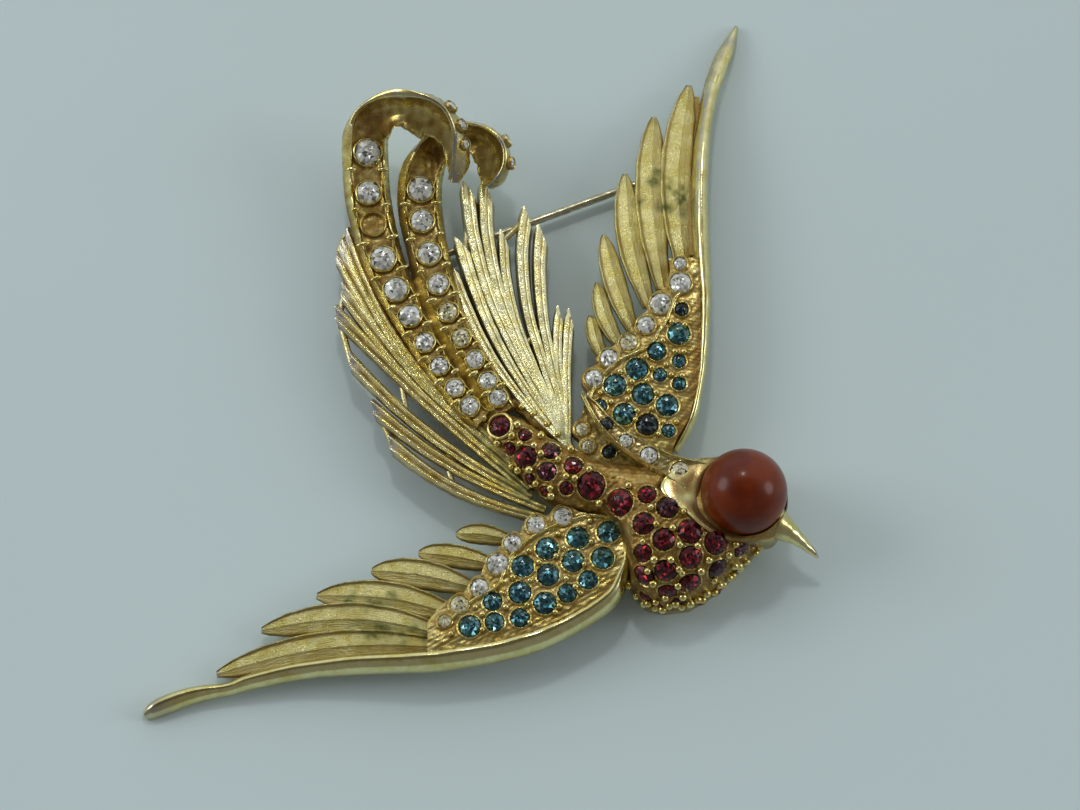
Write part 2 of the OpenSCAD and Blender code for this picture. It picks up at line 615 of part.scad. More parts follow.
function crest_seats() =
    [for (r = crest_stone_rows)
        let (p = row_at(crest_levels, r[0]))
        [point_of(p), strip_axes(crest_path, r[0])[1], min(r[1], 0.72 * p[3])]];

module body_casting() {
    color(gold) difference() {
        union() {
            body_shell();
            crest_band();
            head_cup();
            beak();
        }
        seat_cuts(ruby_seats());
        seat_cuts(crest_seats());
        head_seat();
    }
}

module head_cabochon() {
    color(carnelian) translate([head_at[0], head_at[1], cabochon_z]) sphere(r = cabochon_r, $fn = 48);
}

// What the body casting fills, for the castings that are set against it
module body_room() {
    body_shell(fit_gap);
    crest_band(fit_gap);
    head_cup(fit_gap);
}

// Wings

function wing_point(frame, u, v, z) =
    let (p = frame[0] + frame[1] * u * frame[3] + frame[2] * v * frame[4]) [p[0], p[1], z];

function wing_under(lift_rows, u) = wing_lift * lookup(u, lift_rows);

// Middle line of a rail, as rows of a strip
function rail_path(frame, lift_rows, rows, rail_w) =
    [for (r = rows)
        let (p = wing_point(frame, r[0], r[1], wing_under(lift_rows, r[0]) + r[3] * rail_h / 2))
        [p[0], p[1], p[2], r[2] * rail_w, r[3] * rail_h]];

// Height of a stone field's face at a place given in shares of the wing
function field_z(lift_rows, rows, u, v) =
    let (near = lookup(u, column(rows, 2)), far = lookup(u, column(rows, 1)))
    let (w = clamp((near - v) / (near - far), 0, 1))
    wing_under(lift_rows, u) + field_t + field_sag * (1 - w * w) - 0.3 * field_sag * (1 - w);

function field_point(frame, lift_rows, rows, u, v) =
    wing_point(frame, u, v, field_z(lift_rows, rows, u, v));

function field_normal(frame, lift_rows, rows, u, v) =
    let (e = 0.01)
    let (a = field_point(frame, lift_rows, rows, u + e, v) - field_point(frame, lift_rows, rows, u - e, v))
    let (b = field_point(frame, lift_rows, rows, u, v + e) - field_point(frame, lift_rows, rows, u, v - e))
    let (n = unit(cross(a, b)))
    n[2] > 0 ? n : -n;

function field_seats(frame, lift_rows, rows, places) =
    [for (s = places)
        [field_point(frame, lift_rows, rows, s[0], s[1]),
         field_normal(frame, lift_rows, rows, s[0], s[1]), s[2]]];

module stone_field(frame, lift_rows, rows, grow = 0) {
    edge = grow / frame[4];
    shares = [0, 0.3, 0.65, 1];
    rings = [for (r = rows)
        let (far = r[1] - edge, near = r[2] + edge, under = wing_under(lift_rows, r[0]) + field_step)
        concat(
            [for (k = shares) let (v = far + k * (near - far))
                field_point(frame, lift_rows, rows, r[0], v) + [0, 0, grow]],
            [wing_point(frame, r[0], near, under - grow), wing_point(frame, r[0], far, under - grow)])];
    skin(rings);
}

// A feather: a curved leaf with a raised outer edge
module feather(frame, lift_rows, f) {
    tip = wing_point(frame, f[0], f[1], 0);
    root = wing_point(frame, f[2], f[3], 0);
    reach = norm(tip - root);
    dir = unit(tip - root);
    rail_side = [frame[2][0], frame[2][1], 0];
    off = unit(rail_side - dir * (rail_side * dir));
    spine = [for (r = feather_rows)
        let (u = f[2] + r[0] * (f[0] - f[2]))
        let (p = root + dir * r[0] * reach - off * f[5] * reach * sin(180 * r[0]))
        let (thick = feather_t * r[2])
        [p[0], p[1], wing_under(lift_rows, u) + feather_step + thick / 2, f[4] * upper_wing_w * r[1],
         thick]];
    steps = 6;
    rings = [for (i = [0 : steps])
        let (row = row_at(spine, i / steps))
        [for (s = feather_section) point_of(row) + off * s[0] * row[3] + [0, 0, s[1] * row[4]]]];
    skin(rings);
}

module wing_blank(frame, lift_rows, rail, rail_w, field, feathers) {
    skin(strip(rail_path(frame, lift_rows, rail, rail_w), rail_section, round(1.3 * len(rail))));
    stone_field(frame, lift_rows, field);
    for (f = feathers) feather(frame, lift_rows, f);
}

function upper_seats(places) = field_seats(upper_frame, upper_lift_rows, upper_field_rows, places);
function lower_seats(places) = field_seats(lower_frame, lower_lift_rows, lower_field_rows, places);

module upper_wing() {
    color(gold) difference() {
        wing_blank(upper_frame, upper_lift_rows, upper_rail_rows, upper_rail_w, upper_field_rows, upper_feathers);
        seat_cuts(upper_seats(upper_blues));
        seat_cuts(upper_seats(upper_crystals));
        body_room();
    }
}

module lower_wing() {
    color(gold) difference() {
        wing_blank(lower_frame, lower_lift_rows, lower_rail_rows, lower_rail_w, lower_field_rows, lower_feathers);
        seat_cuts(lower_seats(lower_blues));
        seat_cuts(lower_seats(lower_crystals));
        body_room();
    }
}

// Tail fans

function right_rib_path(r) =
    [for (t = [0, 0.2, 0.4, 0.6, 0.8, 0.93, 1])
        let (turn = r[0] + r[2] * sin(180 * t) + r[4] * pow(1 - t, 2), reach = t * r[1] * right_fan_len)
        let (wide = r[3] * rib_w * (0.55 + 0.45 * t) * (t == 1 ? 0.35 : 1))
        [right_fan_at[0] + reach * cos(turn), right_fan_at[1] + reach * sin(turn),
         rib_h / 2 + fan_root_z + (fan_tip_z - fan_root_z) * t, wide, rib_h]];

function left_rib_path(r) =
    let (tip = [left_fan_at[0] - r[0] * left_fan_w, left_fan_at[1] + r[1] * left_fan_len])
    let (root = [left_fan_at[0] - r[2] * left_fan_w, left_fan_at[1] + r[3] * left_fan_len])
    let (reach = norm(tip - root), dir = unit(tip - root))
    [for (t = [0, 0.2, 0.4, 0.6, 0.8, 0.93, 1])
        let (p = root + dir * t * reach + [dir[1], -dir[0]] * -r[4] * reach * sin(180 * t))
        let (wide = r[5] * rib_w * (0.6 + 0.4 * t) * (t == 1 ? 0.35 : 1))
        [p[0], p[1], rib_h / 2 + fan_root_z + (fan_tip_z - fan_root_z) * t, wide, rib_h]];

// Bars that tie neighbouring ribs together
module rib_ties(paths, ties) {
    bar_r = 0.35;
    for (tie = ties) hull() for (k = [0, 1]) {
        p = row_at(paths[tie[k]], tie[2]);
        translate([p[0], p[1], p[2] - rib_h / 2]) cylinder(r = bar_r, h = 0.6 * rib_h, $fn = 6);
    }
}

module right_tail_fan() {
    paths = [for (r = right_ribs) right_rib_path(r)];
    color(gold) difference() {
        union() {
            for (path = paths) skin(strip(path, rib_section, 6));
            rib_ties(paths, right_ties);
        }
        body_room();
        right_plume_room();
        left_plume_room();
        stone_field(upper_frame, upper_lift_rows, upper_field_rows, fit_gap);
    }
}

module left_tail_fan() {
    paths = [for (r = left_ribs) left_rib_path(r)];
    color(gold) difference() {
        union() {
            for (path = paths) skin(strip(path, rib_section, 6));
            rib_ties(paths, left_ties);
        }
        body_room();
        left_plume_room();
        stone_field(lower_frame, lower_lift_rows, lower_field_rows, fit_gap);
    }
}

// Plumes

function plume_path(at, w, l, hook_z, rows) =
    [for (r = rows)
        [at[0] + r[0] * w, at[1] + r[1] * l, r[2] * hook_z, r[3] * channel_w, channel_h, r[4]]];

left_plume_path =
    plume_path(left_plume_at, left_plume_w, left_plume_len, left_hook_z, left_plume_rows);
right_plume_path =
    plume_path(right_plume_at, right_plume_w, right_plume_len, right_hook_z, right_plume_rows);

// Seats on a plume's face, or on its back where face is -1
function plume_seats(path, places, face = 1) =
    [for (s = places)
        let (axes = strip_axes(path, s[0]))
        let (level = face > 0 ? channel_seat : 0.46)
        [point_of(row_at(path, s[0])) + axes[1] * face * level * channel_h, axes[1] * face,
         s[1] * plume_stone]];

module plume(path, stones, hook_stones) {
    difference() {
        skin(strip(path, channel_section, 28));
        seat_cuts(plume_seats(path, stones));
        seat_cuts(plume_seats(path, hook_stones, -1));
    }
}

module left_plume_room() {
    skin(strip(left_plume_path, block_section, 28, fit_gap));
}

module right_plume_room() {
    skin(strip(right_plume_path, block_section, 28, fit_gap));
}

module left_plume() {
    color(gold) difference() {
        plume(left_plume_path, left_plume_stones, left_hook_stones);
        body_room();
    }
}

module right_plume() {
    color(gold) difference() {
        plume(right_plume_path, right_plume_stones, right_hook_stones);
        body_room();
        left_plume_room();
    }
}

// Pin, hinge and catch, laid out along the pin's own line

module along_pin() {
    translate([hinge_at[0], hinge_at[1], pin_z]) rotate([0, 0, pin_angle]) children();
}

module pin_stem() {
    bore_r = rivet_d / 2 + pin_gap / 2;
    color(steel) along_pin() {
        difference() {
            union() {
                rotate([90, 0, 0]) cylinder(d = knuckle_d, h = knuckle_len, center = true, $fn = 48);
                rotate([0, 90, 0]) cylinder(d = pin_d, h = pin_len - point_len, $fn = 48);
            }
            rotate([90, 0, 0]) cylinder(r = bore_r, h = knuckle_len + 2, center = true, $fn = 48);
        }
        translate([pin_len - point_len, 0, 0]) rotate([0, 90, 0])
            cylinder(d1 = pin_d, d2 = 0.15, h = point_len, $fn = 48);
    }
}

// The hinge hangs under the left fan's outer ribs, and its plate fills the height over the knuckle
hinge_share = 0.85;
hinge_roof = fan_root_z + (fan_tip_z - fan_root_z) * hinge_share - fit_gap - pin_z;
hinge_plate_z = knuckle_d / 2 + pin_gap;

module hinge_bracket() {
    reach = knuckle_d / 2 + 0.25;
    ear_y = knuckle_len / 2 + pin_gap;
    color(gold) along_pin() {
        for (side = [-1, 1]) translate([0, side * (ear_y + sheet_t / 2), 0]) {
            rotate([90, 0, 0]) cylinder(d = knuckle_d, h = sheet_t, center = true, $fn = 48);
            translate([-knuckle_d / 2, -sheet_t / 2, 0]) cube([knuckle_d, sheet_t, hinge_plate_z]);
        }
        translate([-reach, -ear_y - sheet_t, hinge_plate_z])
            cube([2 * reach, 2 * (ear_y + sheet_t), hinge_roof - hinge_plate_z]);
        rotate([90, 0, 0]) cylinder(d = rivet_d, h = 2 * ear_y + sheet_t, center = true, $fn = 48);
    }
}

// The catch hangs under the upper wing, and its cheeks reach down past the stem
catch_l = 2;
catch_place = pin_len - 0.8 * catch_l;
catch_share = (hinge_at[1] + (catch_place + catch_l) * sin(pin_angle) - upper_wing_at[1]) / upper_wing_len;
catch_roof = wing_under(upper_lift_rows, catch_share) + feather_step - fit_gap - pin_z;

module catch() {
    cheek_y = pin_d / 2 + pin_gap;
    foot = 0.2 - pin_z;
    color(gold) along_pin() translate([catch_place - catch_l / 2, 0, 0]) {
        for (y = [cheek_y, -cheek_y - sheet_t]) translate([0, y, foot]) cube([catch_l, sheet_t, catch_roof - foot]);
        translate([0, -cheek_y - sheet_t, cheek_y]) cube([catch_l, 2 * (cheek_y + sheet_t), catch_roof - cheek_y]);
    }
}

body_casting();
head_cabochon();
upper_wing();
lower_wing();
left_tail_fan();
right_tail_fan();
left_plume();
right_plume();
stones(ruby_seats(), ruby);  // rump_and_breast_rubies
stones(upper_seats(upper_blues), montana);  // upper_wing_blue_stones
stones(lower_seats(lower_blues), montana);  // lower_wing_blue_stones
stones(upper_seats(upper_crystals), crystal);  // upper_wing_crystals
stones(lower_seats(lower_crystals), crystal);  // lower_wing_crystals
stones(crest_seats(), crystal);  // crest_stones
stones(concat(plume_seats(left_plume_path, left_plume_stones),  // left_plume_crystals
                  plume_seats(left_plume_path, left_hook_stones, -1)), crystal);
stones(concat(plume_seats(right_plume_path, right_plume_stones),  // right_plume_crystals
                  plume_seats(right_plume_path, right_hook_stones, -1)), crystal);
hinge_bracket();
catch();
pin_stem();
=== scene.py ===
"""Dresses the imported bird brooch: cast gold with feathers, ribs and pave seats, cut stones, and a carnelian head.

Lengths are millimetres in the frame's own axes until a mesh is made, which turns them into metres.
"""
import math

import bpy
import numpy as np
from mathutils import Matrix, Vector


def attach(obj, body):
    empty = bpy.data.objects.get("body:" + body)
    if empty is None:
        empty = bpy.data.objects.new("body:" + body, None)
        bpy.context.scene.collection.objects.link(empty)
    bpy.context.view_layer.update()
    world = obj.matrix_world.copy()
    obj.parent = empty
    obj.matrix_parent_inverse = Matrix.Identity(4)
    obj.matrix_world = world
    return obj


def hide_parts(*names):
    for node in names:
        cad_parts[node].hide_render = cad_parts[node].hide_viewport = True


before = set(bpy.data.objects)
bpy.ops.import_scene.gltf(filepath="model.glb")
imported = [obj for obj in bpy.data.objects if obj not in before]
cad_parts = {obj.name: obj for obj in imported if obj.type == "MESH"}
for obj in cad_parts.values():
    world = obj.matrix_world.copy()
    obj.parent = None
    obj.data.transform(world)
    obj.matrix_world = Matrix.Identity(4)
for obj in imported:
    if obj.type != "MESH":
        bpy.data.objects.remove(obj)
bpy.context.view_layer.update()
MM = 0.001
rng = np.random.default_rng(7)


# ---------------------------------------------------------------- curves and tables

def curve(rows, t):
    """Rows of a table at shares t of it, on a smooth curve through the rows."""
    rows = np.asarray(rows, float)
    t = np.asarray(t, float)
    flat = t.reshape(-1)
    last = len(rows) - 1
    i = np.clip(np.floor(flat * last).astype(int), 0, last - 1)
    f = (flat * last - i)[:, None]
    a, b, c, d = rows[np.maximum(i - 1, 0)], rows[i], rows[i + 1], rows[np.minimum(i + 2, last)]
    out = b + 0.5 * f * ((c - a) + f * ((2 * a - 5 * b + 4 * c - d) + f * (3 * (b - c) + d - a)))
    return out.reshape(t.shape + (rows.shape[1],))


def lookup(rows, x, k=1):
    rows = np.asarray(rows, float)
    return np.interp(x, rows[:, 0], rows[:, k])


def unit(v):
    return v / np.maximum(np.linalg.norm(v, axis=-1, keepdims=True), 1e-9)


def smoothstep(x, low, high):
    s = np.clip((x - low) / (high - low), 0, 1)
    return s * s * (3 - 2 * s)


def wobble(points, scale, seed, waves=7):
    """A smooth random field between about -1 and 1, with features of about scale millimetres."""
    pick = np.random.default_rng(seed)
    total = np.zeros(points.shape[:-1])
    for _ in range(waves):
        way = unit(pick.normal(size=3)) * (2 * math.pi / scale) * pick.uniform(0.6, 1.5)
        total += np.sin(points @ way + pick.uniform(0, 6.3))
    return total / math.sqrt(waves)


def seen(px, py, z):
    """The place at height z that the camera sees at a spot of the picture, in tenths of a millimetre."""
    return np.array([(px - 484) / 10, ((368.3 - py) / 10 - 0.276 * z) / 0.961, z])


# ---------------------------------------------------------------- meshes

class Piece:
    """Gathers closed shells into one mesh, each point with its tone (painted shade, wear and painted reflection, green)
    and its lay.
    """

    def __init__(self):
        self.points, self.faces, self.tones, self.lays, self.count = [], [], [], [], 0

    def add(self, points, faces, tone=None, lay=None):
        points = np.asarray(points, float).reshape(-1, 3)
        n = len(points)
        self.points.append(points)
        self.faces += [(f + self.count).tolist() for f in faces]
        self.tones.append(np.zeros((n, 3)) if tone is None else np.broadcast_to(tone, (n, 3)))
        self.lays.append(points.copy() if lay is None else np.asarray(lay, float).reshape(-1, 3))
        self.count += n

    def finish(self, name, paint, nodes, sharp=40, body="brooch"):
        mesh = bpy.data.meshes.new(name)
        faces = [tuple(f) for block in self.faces for f in block]
        mesh.from_pydata((np.concatenate(self.points) * MM).tolist(), [], faces)
        for label, data in (("tone", self.tones), ("lay", self.lays)):
            layer = mesh.attributes.new(label, "FLOAT_VECTOR", "POINT")
            layer.data.foreach_set("vector", np.concatenate(data).astype(np.float32).ravel())
        mesh.materials.append(paint)
        mesh.shade_smooth()
        mesh.set_sharp_from_angle(angle=math.radians(sharp))
        obj = bpy.data.objects.new(name, mesh)
        bpy.context.scene.collection.objects.link(obj)
        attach(obj, body)
        if nodes:
            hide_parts(*nodes)
        return obj


def shell(rings, closed=True):
    """Points and faces of a closed skin through rings of points, with a fan over each end."""
    k, n = rings.shape[:2]
    index = np.arange(k * n).reshape(k, n)
    near, far = index[:-1], index[1:]
    quads = np.stack([near, np.roll(near, -1, 1), np.roll(far, -1, 1), far], -1).reshape(-1, 4)
    points = np.concatenate([rings.reshape(-1, 3), rings[0].mean(0)[None], rings[-1].mean(0)[None]])
    start = np.stack([np.roll(index[0], -1), index[0], np.full(n, k * n)], -1)
    end = np.stack([index[-1], np.roll(index[-1], -1), np.full(n, k * n + 1)], -1)
    tri = np.concatenate([quads[:, [0, 1, 2]], quads[:, [0, 2, 3]], start, end])
    corner = points[tri]
    volume = np.einsum("ij,ij->i", corner[:, 0], np.cross(corner[:, 1], corner[:, 2])).sum()
    faces = [quads, start, end]
    return points, faces if volume > 0 else [f[:, ::-1] for f in faces]


def capped(values):
    """Values for a shell's points, where its two end points take those of the first and last ring."""
    values = np.asarray(values, float)
    ends = [values[0].mean(0)[None], values[-1].mean(0)[None]]
    return np.concatenate([values.reshape(-1, values.shape[-1])] + ends)


def tones(painted_shade, wear_and_reflection=0.0, green=0.0):
    painted_shade, wear_and_reflection, green = np.broadcast_arrays(painted_shade, wear_and_reflection, green)
    return np.stack([painted_shade, wear_and_reflection, green], -1)


def axes_along(path, t, rolled):
    step = 0.01
    ahead = curve(path, np.clip(t + step, 0, 1))[..., :3] - curve(path, np.clip(t - step, 0, 1))[..., :3]
    way = unit(ahead)
    side = unit(np.stack([-way[..., 1], way[..., 0], np.zeros(way.shape[:-1])], -1))
    if not rolled:
        return side, np.broadcast_to([0.0, 0.0, 1.0], side.shape)
    up = np.cross(way, side)
    roll = np.radians(curve(path, t)[..., 5])[..., None]
    return side * np.cos(roll) + up * np.sin(roll), up * np.cos(roll) - side * np.sin(roll)


def ribbon(path, t, across, level, rolled=False):
    """Points of a strip: across and level are shares of its width and height, on arrays shaped like t."""
    row = curve(path, t)
    side, up = axes_along(path, t, rolled)
    return row[..., :3] + side * (across * row[..., 3])[..., None] + up * (level * row[..., 4])[..., None]


def turned(profile, centre, up, sides=28, ripple=0.0, seed=0):
    """A closed shell turned round an axis from (radius, height) pairs that run from one end to the other."""
    up = unit(np.asarray(up, float))
    first = unit(np.cross(up, [0.3, 1.0, 0.1]))
    second = np.cross(up, first)
    angle = np.arange(sides) * 2 * math.pi / sides
    spin = np.cos(angle)[:, None] * first + np.sin(angle)[:, None] * second
    rings = np.stack([np.asarray(centre) + r * spin + z * up for r, z in profile])
    if ripple:
        rings = rings + wobble(rings, 1.1, seed)[..., None] * ripple * spin[None]
    return shell(rings)


def bead(piece, centre, up, radius, tall=1.0, tone=(0, 0, 0), sides=12, steps=7):
    around = [(radius * math.sin(a), -radius * tall * math.cos(a))
              for a in np.linspace(0.12, math.pi - 0.12, steps)]
    piece.add(*turned(around, centre, up, sides), tone=tone)


# ---------------------------------------------------------------- materials

def nodes_of(name):
    paint = bpy.data.materials.new(name)
    paint.use_nodes = True
    return paint, paint.node_tree, paint.node_tree.nodes["Principled BSDF"]


def add_node(tree, kind, **values):
    made = tree.nodes.new(kind)
    for key, value in values.items():
        if hasattr(made, key):
            setattr(made, key, value)
        else:
            made.inputs[key.replace("_", " ")].default_value = value
    return made


def attribute(tree, label):
    return add_node(tree, "ShaderNodeAttribute", attribute_name=label)


def noise(tree, vector, scale, detail=3.0, rough=0.55):
    made = add_node(tree, "ShaderNodeTexNoise", Scale=scale, Detail=detail, Roughness=rough)
    tree.links.new(vector, made.inputs["Vector"])
    return made.outputs["Fac"]


def fitted(tree, value, low, high, to_low=0.0, to_high=1.0):
    made = add_node(tree, "ShaderNodeMapRange", interpolation_type="SMOOTHSTEP")
    for key, number in (("From Min", low), ("From Max", high), ("To Min", to_low), ("To Max", to_high)):
        made.inputs[key].default_value = number
    tree.links.new(value, made.inputs["Value"])
    return made.outputs["Result"]


def maths(tree, operation, a, b, clamp=False):
    made = tree.nodes.new("ShaderNodeMath")
    made.operation, made.use_clamp = operation, clamp
    for socket, value in zip(made.inputs, (a, b)):
        if isinstance(value, (int, float)):
            socket.default_value = value
        else:
            tree.links.new(value, socket)
    return made.outputs[0]


def blend_colour(tree, share, a, b):
    made = tree.nodes.new("ShaderNodeMix")
    made.data_type = "RGBA"
    for socket, value in ((made.inputs[0], share), (made.inputs[6], a), (made.inputs[7], b)):
        if isinstance(value, (tuple, float)):
            socket.default_value = value + (1.0,) if isinstance(value, tuple) else value
        else:
            tree.links.new(value, socket)
    return made.outputs[2]


def gold_paint(name, rough, grain, streaks=0.0, pale=(0.79, 0.74, 0.38), deep=(0.67, 0.58, 0.22)):
    """Worn gold plate: pale on faces, copper brown painted shade in hollows, creases and under parts, grey where it is
    rubbed and as a painted reflection band, green in spots.
    """
    paint, tree, shader = nodes_of(name)
    place = add_node(tree, "ShaderNodeTexCoord").outputs["Object"]
    split = add_node(tree, "ShaderNodeSeparateXYZ")
    tree.links.new(attribute(tree, "tone").outputs["Vector"], split.inputs[0])
    painted_shade, wear_and_reflection, green = split.outputs
    patches, fine = noise(tree, place, 700, 4), noise(tree, place, 5200, 3)
    speck = fitted(tree, noise(tree, place, 2600, 5, 0.7), 0.60, 0.72)
    colour = blend_colour(tree, fitted(tree, patches, 0.35, 0.68), pale, deep)
    painted_shade_share = maths(tree, "MULTIPLY", painted_shade, fitted(tree, fine, 0.2, 0.7, 0.75, 1.0))
    # painted shade: copper brown mixed in where the tone's first part is high
    colour = blend_colour(tree, painted_shade_share, colour, (0.24, 0.115, 0.018))
    # grey: rubbed gold, and a painted reflection band on the upper wing's rail
    rub = maths(tree, "MULTIPLY", wear_and_reflection, fitted(tree, patches, 0.25, 0.6, 0.6, 1.0))
    colour = blend_colour(tree, rub, colour, (0.42, 0.40, 0.38))
    tarnish = maths(tree, "MULTIPLY", speck, 0.45)
    colour = blend_colour(tree, tarnish, colour, (0.20, 0.13, 0.04))
    verdigris = maths(tree, "MULTIPLY", green, fitted(tree, noise(tree, place, 1100, 4), 0.25, 0.72))
    colour = blend_colour(tree, verdigris, colour, (0.12, 0.14, 0.026))
    tree.links.new(colour, shader.inputs["Base Color"])
    dull = maths(tree, "MULTIPLY", maths(tree, "ADD", painted_shade_share, verdigris), 0.35)
    tree.links.new(maths(tree, "SUBTRACT", 1.0, dull, True), shader.inputs["Metallic"])
    base = fitted(tree, fine, 0.25, 0.75, rough * 0.75, rough * 1.3)
    tree.links.new(maths(tree, "ADD", base, maths(tree, "MULTIPLY", dull, 0.6), True), shader.inputs["Roughness"])
    height = fine
    if streaks:
        stretch = add_node(tree, "ShaderNodeVectorMath", operation="MULTIPLY")
        stretch.inputs[1].default_value = (9.0, 1.3, 1.0)
        tree.links.new(attribute(tree, "lay").outputs["Vector"], stretch.inputs[0])
        lines = noise(tree, stretch.outputs[0], 1.0, 4, 0.6)
        height = maths(tree, "ADD", maths(tree, "MULTIPLY", lines, streaks), fine)
    bump = add_node(tree, "ShaderNodeBump", Strength=grain, Distance=0.00006)
    tree.links.new(height, bump.inputs["Height"])
    tree.links.new(bump.outputs[0], shader.inputs["Normal"])
    return paint


def stone_paint(name, rough, metal):
    """Foil-backed cut glass: each facet's colour is a painted reflection of what its foil throws back, under a clear
    polished coat.
    """
    paint, tree, shader = nodes_of(name)
    painted_glint = attribute(tree, "painted_glint")
    place = add_node(tree, "ShaderNodeTexCoord").outputs["Object"]
    cloud = fitted(tree, noise(tree, place, 2400, 3), 0.3, 0.7, 0.75, 1.0)
    tint = add_node(tree, "ShaderNodeVectorMath", operation="SCALE")
    tree.links.new(painted_glint.outputs["Vector"], tint.inputs[0])
    tree.links.new(cloud, tint.inputs["Scale"])
    tree.links.new(tint.outputs[0], shader.inputs["Base Color"])
    to_world = add_node(tree, "ShaderNodeVectorTransform", vector_type="NORMAL",
                        convert_from="OBJECT", convert_to="WORLD")
    tree.links.new(attribute(tree, "inner").outputs["Vector"], to_world.inputs[0])
    tree.links.new(to_world.outputs[0], shader.inputs["Normal"])
    for key, value in (("Metallic", metal), ("Roughness", rough), ("Coat Weight", 0.45),
                       ("Coat Roughness", 0.04), ("Coat IOR", 1.5)):
        shader.inputs[key].default_value = value
    return paint


POLISHED = gold_paint("gold_polished", 0.17, 0.12)
SATIN = gold_paint("gold_satin", 0.30, 0.75, streaks=2.2, pale=(0.67, 0.61, 0.275), deep=(0.54, 0.46, 0.14))
CAST = gold_paint("gold_cast", 0.22, 0.30, pale=(0.82, 0.72, 0.30), deep=(0.64, 0.50, 0.13))
BACK = gold_paint("gold_back", 0.42, 0.50)
# painted highlight: the ribs' gold is paler than the other gold so that they read brighter, the right fan's palest
PALE_RIBS_PAINTED_HIGHLIGHT = gold_paint("gold_ribs_pale", 0.24, 0.35, streaks=1.2, pale=(1.0, 0.97, 0.61), deep=(0.90, 0.82, 0.38))
RIBS_PAINTED_HIGHLIGHT = gold_paint("gold_ribs", 0.22, 0.45, streaks=1.2, pale=(1.0, 0.95, 0.56), deep=(0.90, 0.80, 0.34))
GLASS = stone_paint("cut_glass", 0.12, 0.75)
CLEAR = stone_paint("clear_glass", 0.10, 0.22)


def carnelian_paint():
    paint, tree, shader = nodes_of("carnelian_glass")
    place = add_node(tree, "ShaderNodeTexCoord").outputs["Object"]
    cloud = fitted(tree, noise(tree, place, 260, 3), 0.3, 0.7)
    colour = blend_colour(tree, cloud, (0.115, 0.014, 0.002), (0.20, 0.030, 0.004))
    tree.links.new(colour, shader.inputs["Base Color"])
    bump = add_node(tree, "ShaderNodeBump", Strength=0.05, Distance=0.0001)
    tree.links.new(noise(tree, place, 900, 2), bump.inputs["Height"])
    tree.links.new(bump.outputs[0], shader.inputs["Normal"])
    for key, value in (("Roughness", 0.30), ("Specular IOR Level", 0.14), ("Coat Weight", 0.28), ("Coat Roughness", 0.17)):
        shader.inputs[key].default_value = value
    return paint


def steel_paint():
    paint, tree, shader = nodes_of("pin_wire")
    place = add_node(tree, "ShaderNodeTexCoord").outputs["Object"]
    stretch = add_node(tree, "ShaderNodeVectorMath", operation="MULTIPLY")
    stretch.inputs[1].default_value = (400, 3000, 3000)
    tree.links.new(place, stretch.inputs[0])
    lines = noise(tree, stretch.outputs[0], 1.0, 4)
    colour = blend_colour(tree, fitted(tree, lines, 0.3, 0.7), (0.74, 0.69, 0.48), (0.38, 0.35, 0.23))
    tree.links.new(colour, shader.inputs["Base Color"])
    shader.inputs["Metallic"].default_value = 1.0
    tree.links.new(fitted(tree, lines, 0.3, 0.7, 0.22, 0.42), shader.inputs["Roughness"])
    return paint


# ---------------------------------------------------------------- cut stones

# Four colour levels per kind, dark to bright, from which the facets take painted reflections
PALETTES = {
    "ruby": [(0.030, 0.001, 0.004), (0.10, 0.003, 0.008), (0.28, 0.006, 0.016), (0.85, 0.03, 0.045)],
    "garnet": [(0.02, 0.003, 0.006), (0.07, 0.009, 0.018), (0.17, 0.028, 0.045), (0.40, 0.13, 0.16)],
    "blue": [(0.012, 0.055, 0.075), (0.035, 0.15, 0.19), (0.09, 0.30, 0.36), (0.35, 0.66, 0.72)],
    "teal": [(0.02, 0.075, 0.085), (0.06, 0.21, 0.24), (0.14, 0.38, 0.42), (0.45, 0.72, 0.75)],
    "night": [(0.004, 0.008, 0.012), (0.012, 0.022, 0.030), (0.03, 0.06, 0.08), (0.10, 0.18, 0.22)],
    "clear": [(0.17, 0.17, 0.14), (0.55, 0.56, 0.50), (0.90, 0.91, 0.85), (1.0, 1.0, 0.96)],
    "yellowed": [(0.18, 0.15, 0.06), (0.52, 0.46, 0.23), (0.82, 0.76, 0.48), (1.0, 0.97, 0.78)]}
GLITTER = {"bright": [0.06, 0.08, 0.13, 0.17, 0.21, 0.20, 0.15], "dark": [0.24, 0.24, 0.20, 0.14, 0.09, 0.05, 0.04]}
BRIGHT = ("clear", "yellowed")
TABLE_SHARE, CROWN_SHARE, PAVILION_SHARE = 0.56, 0.16, 0.40


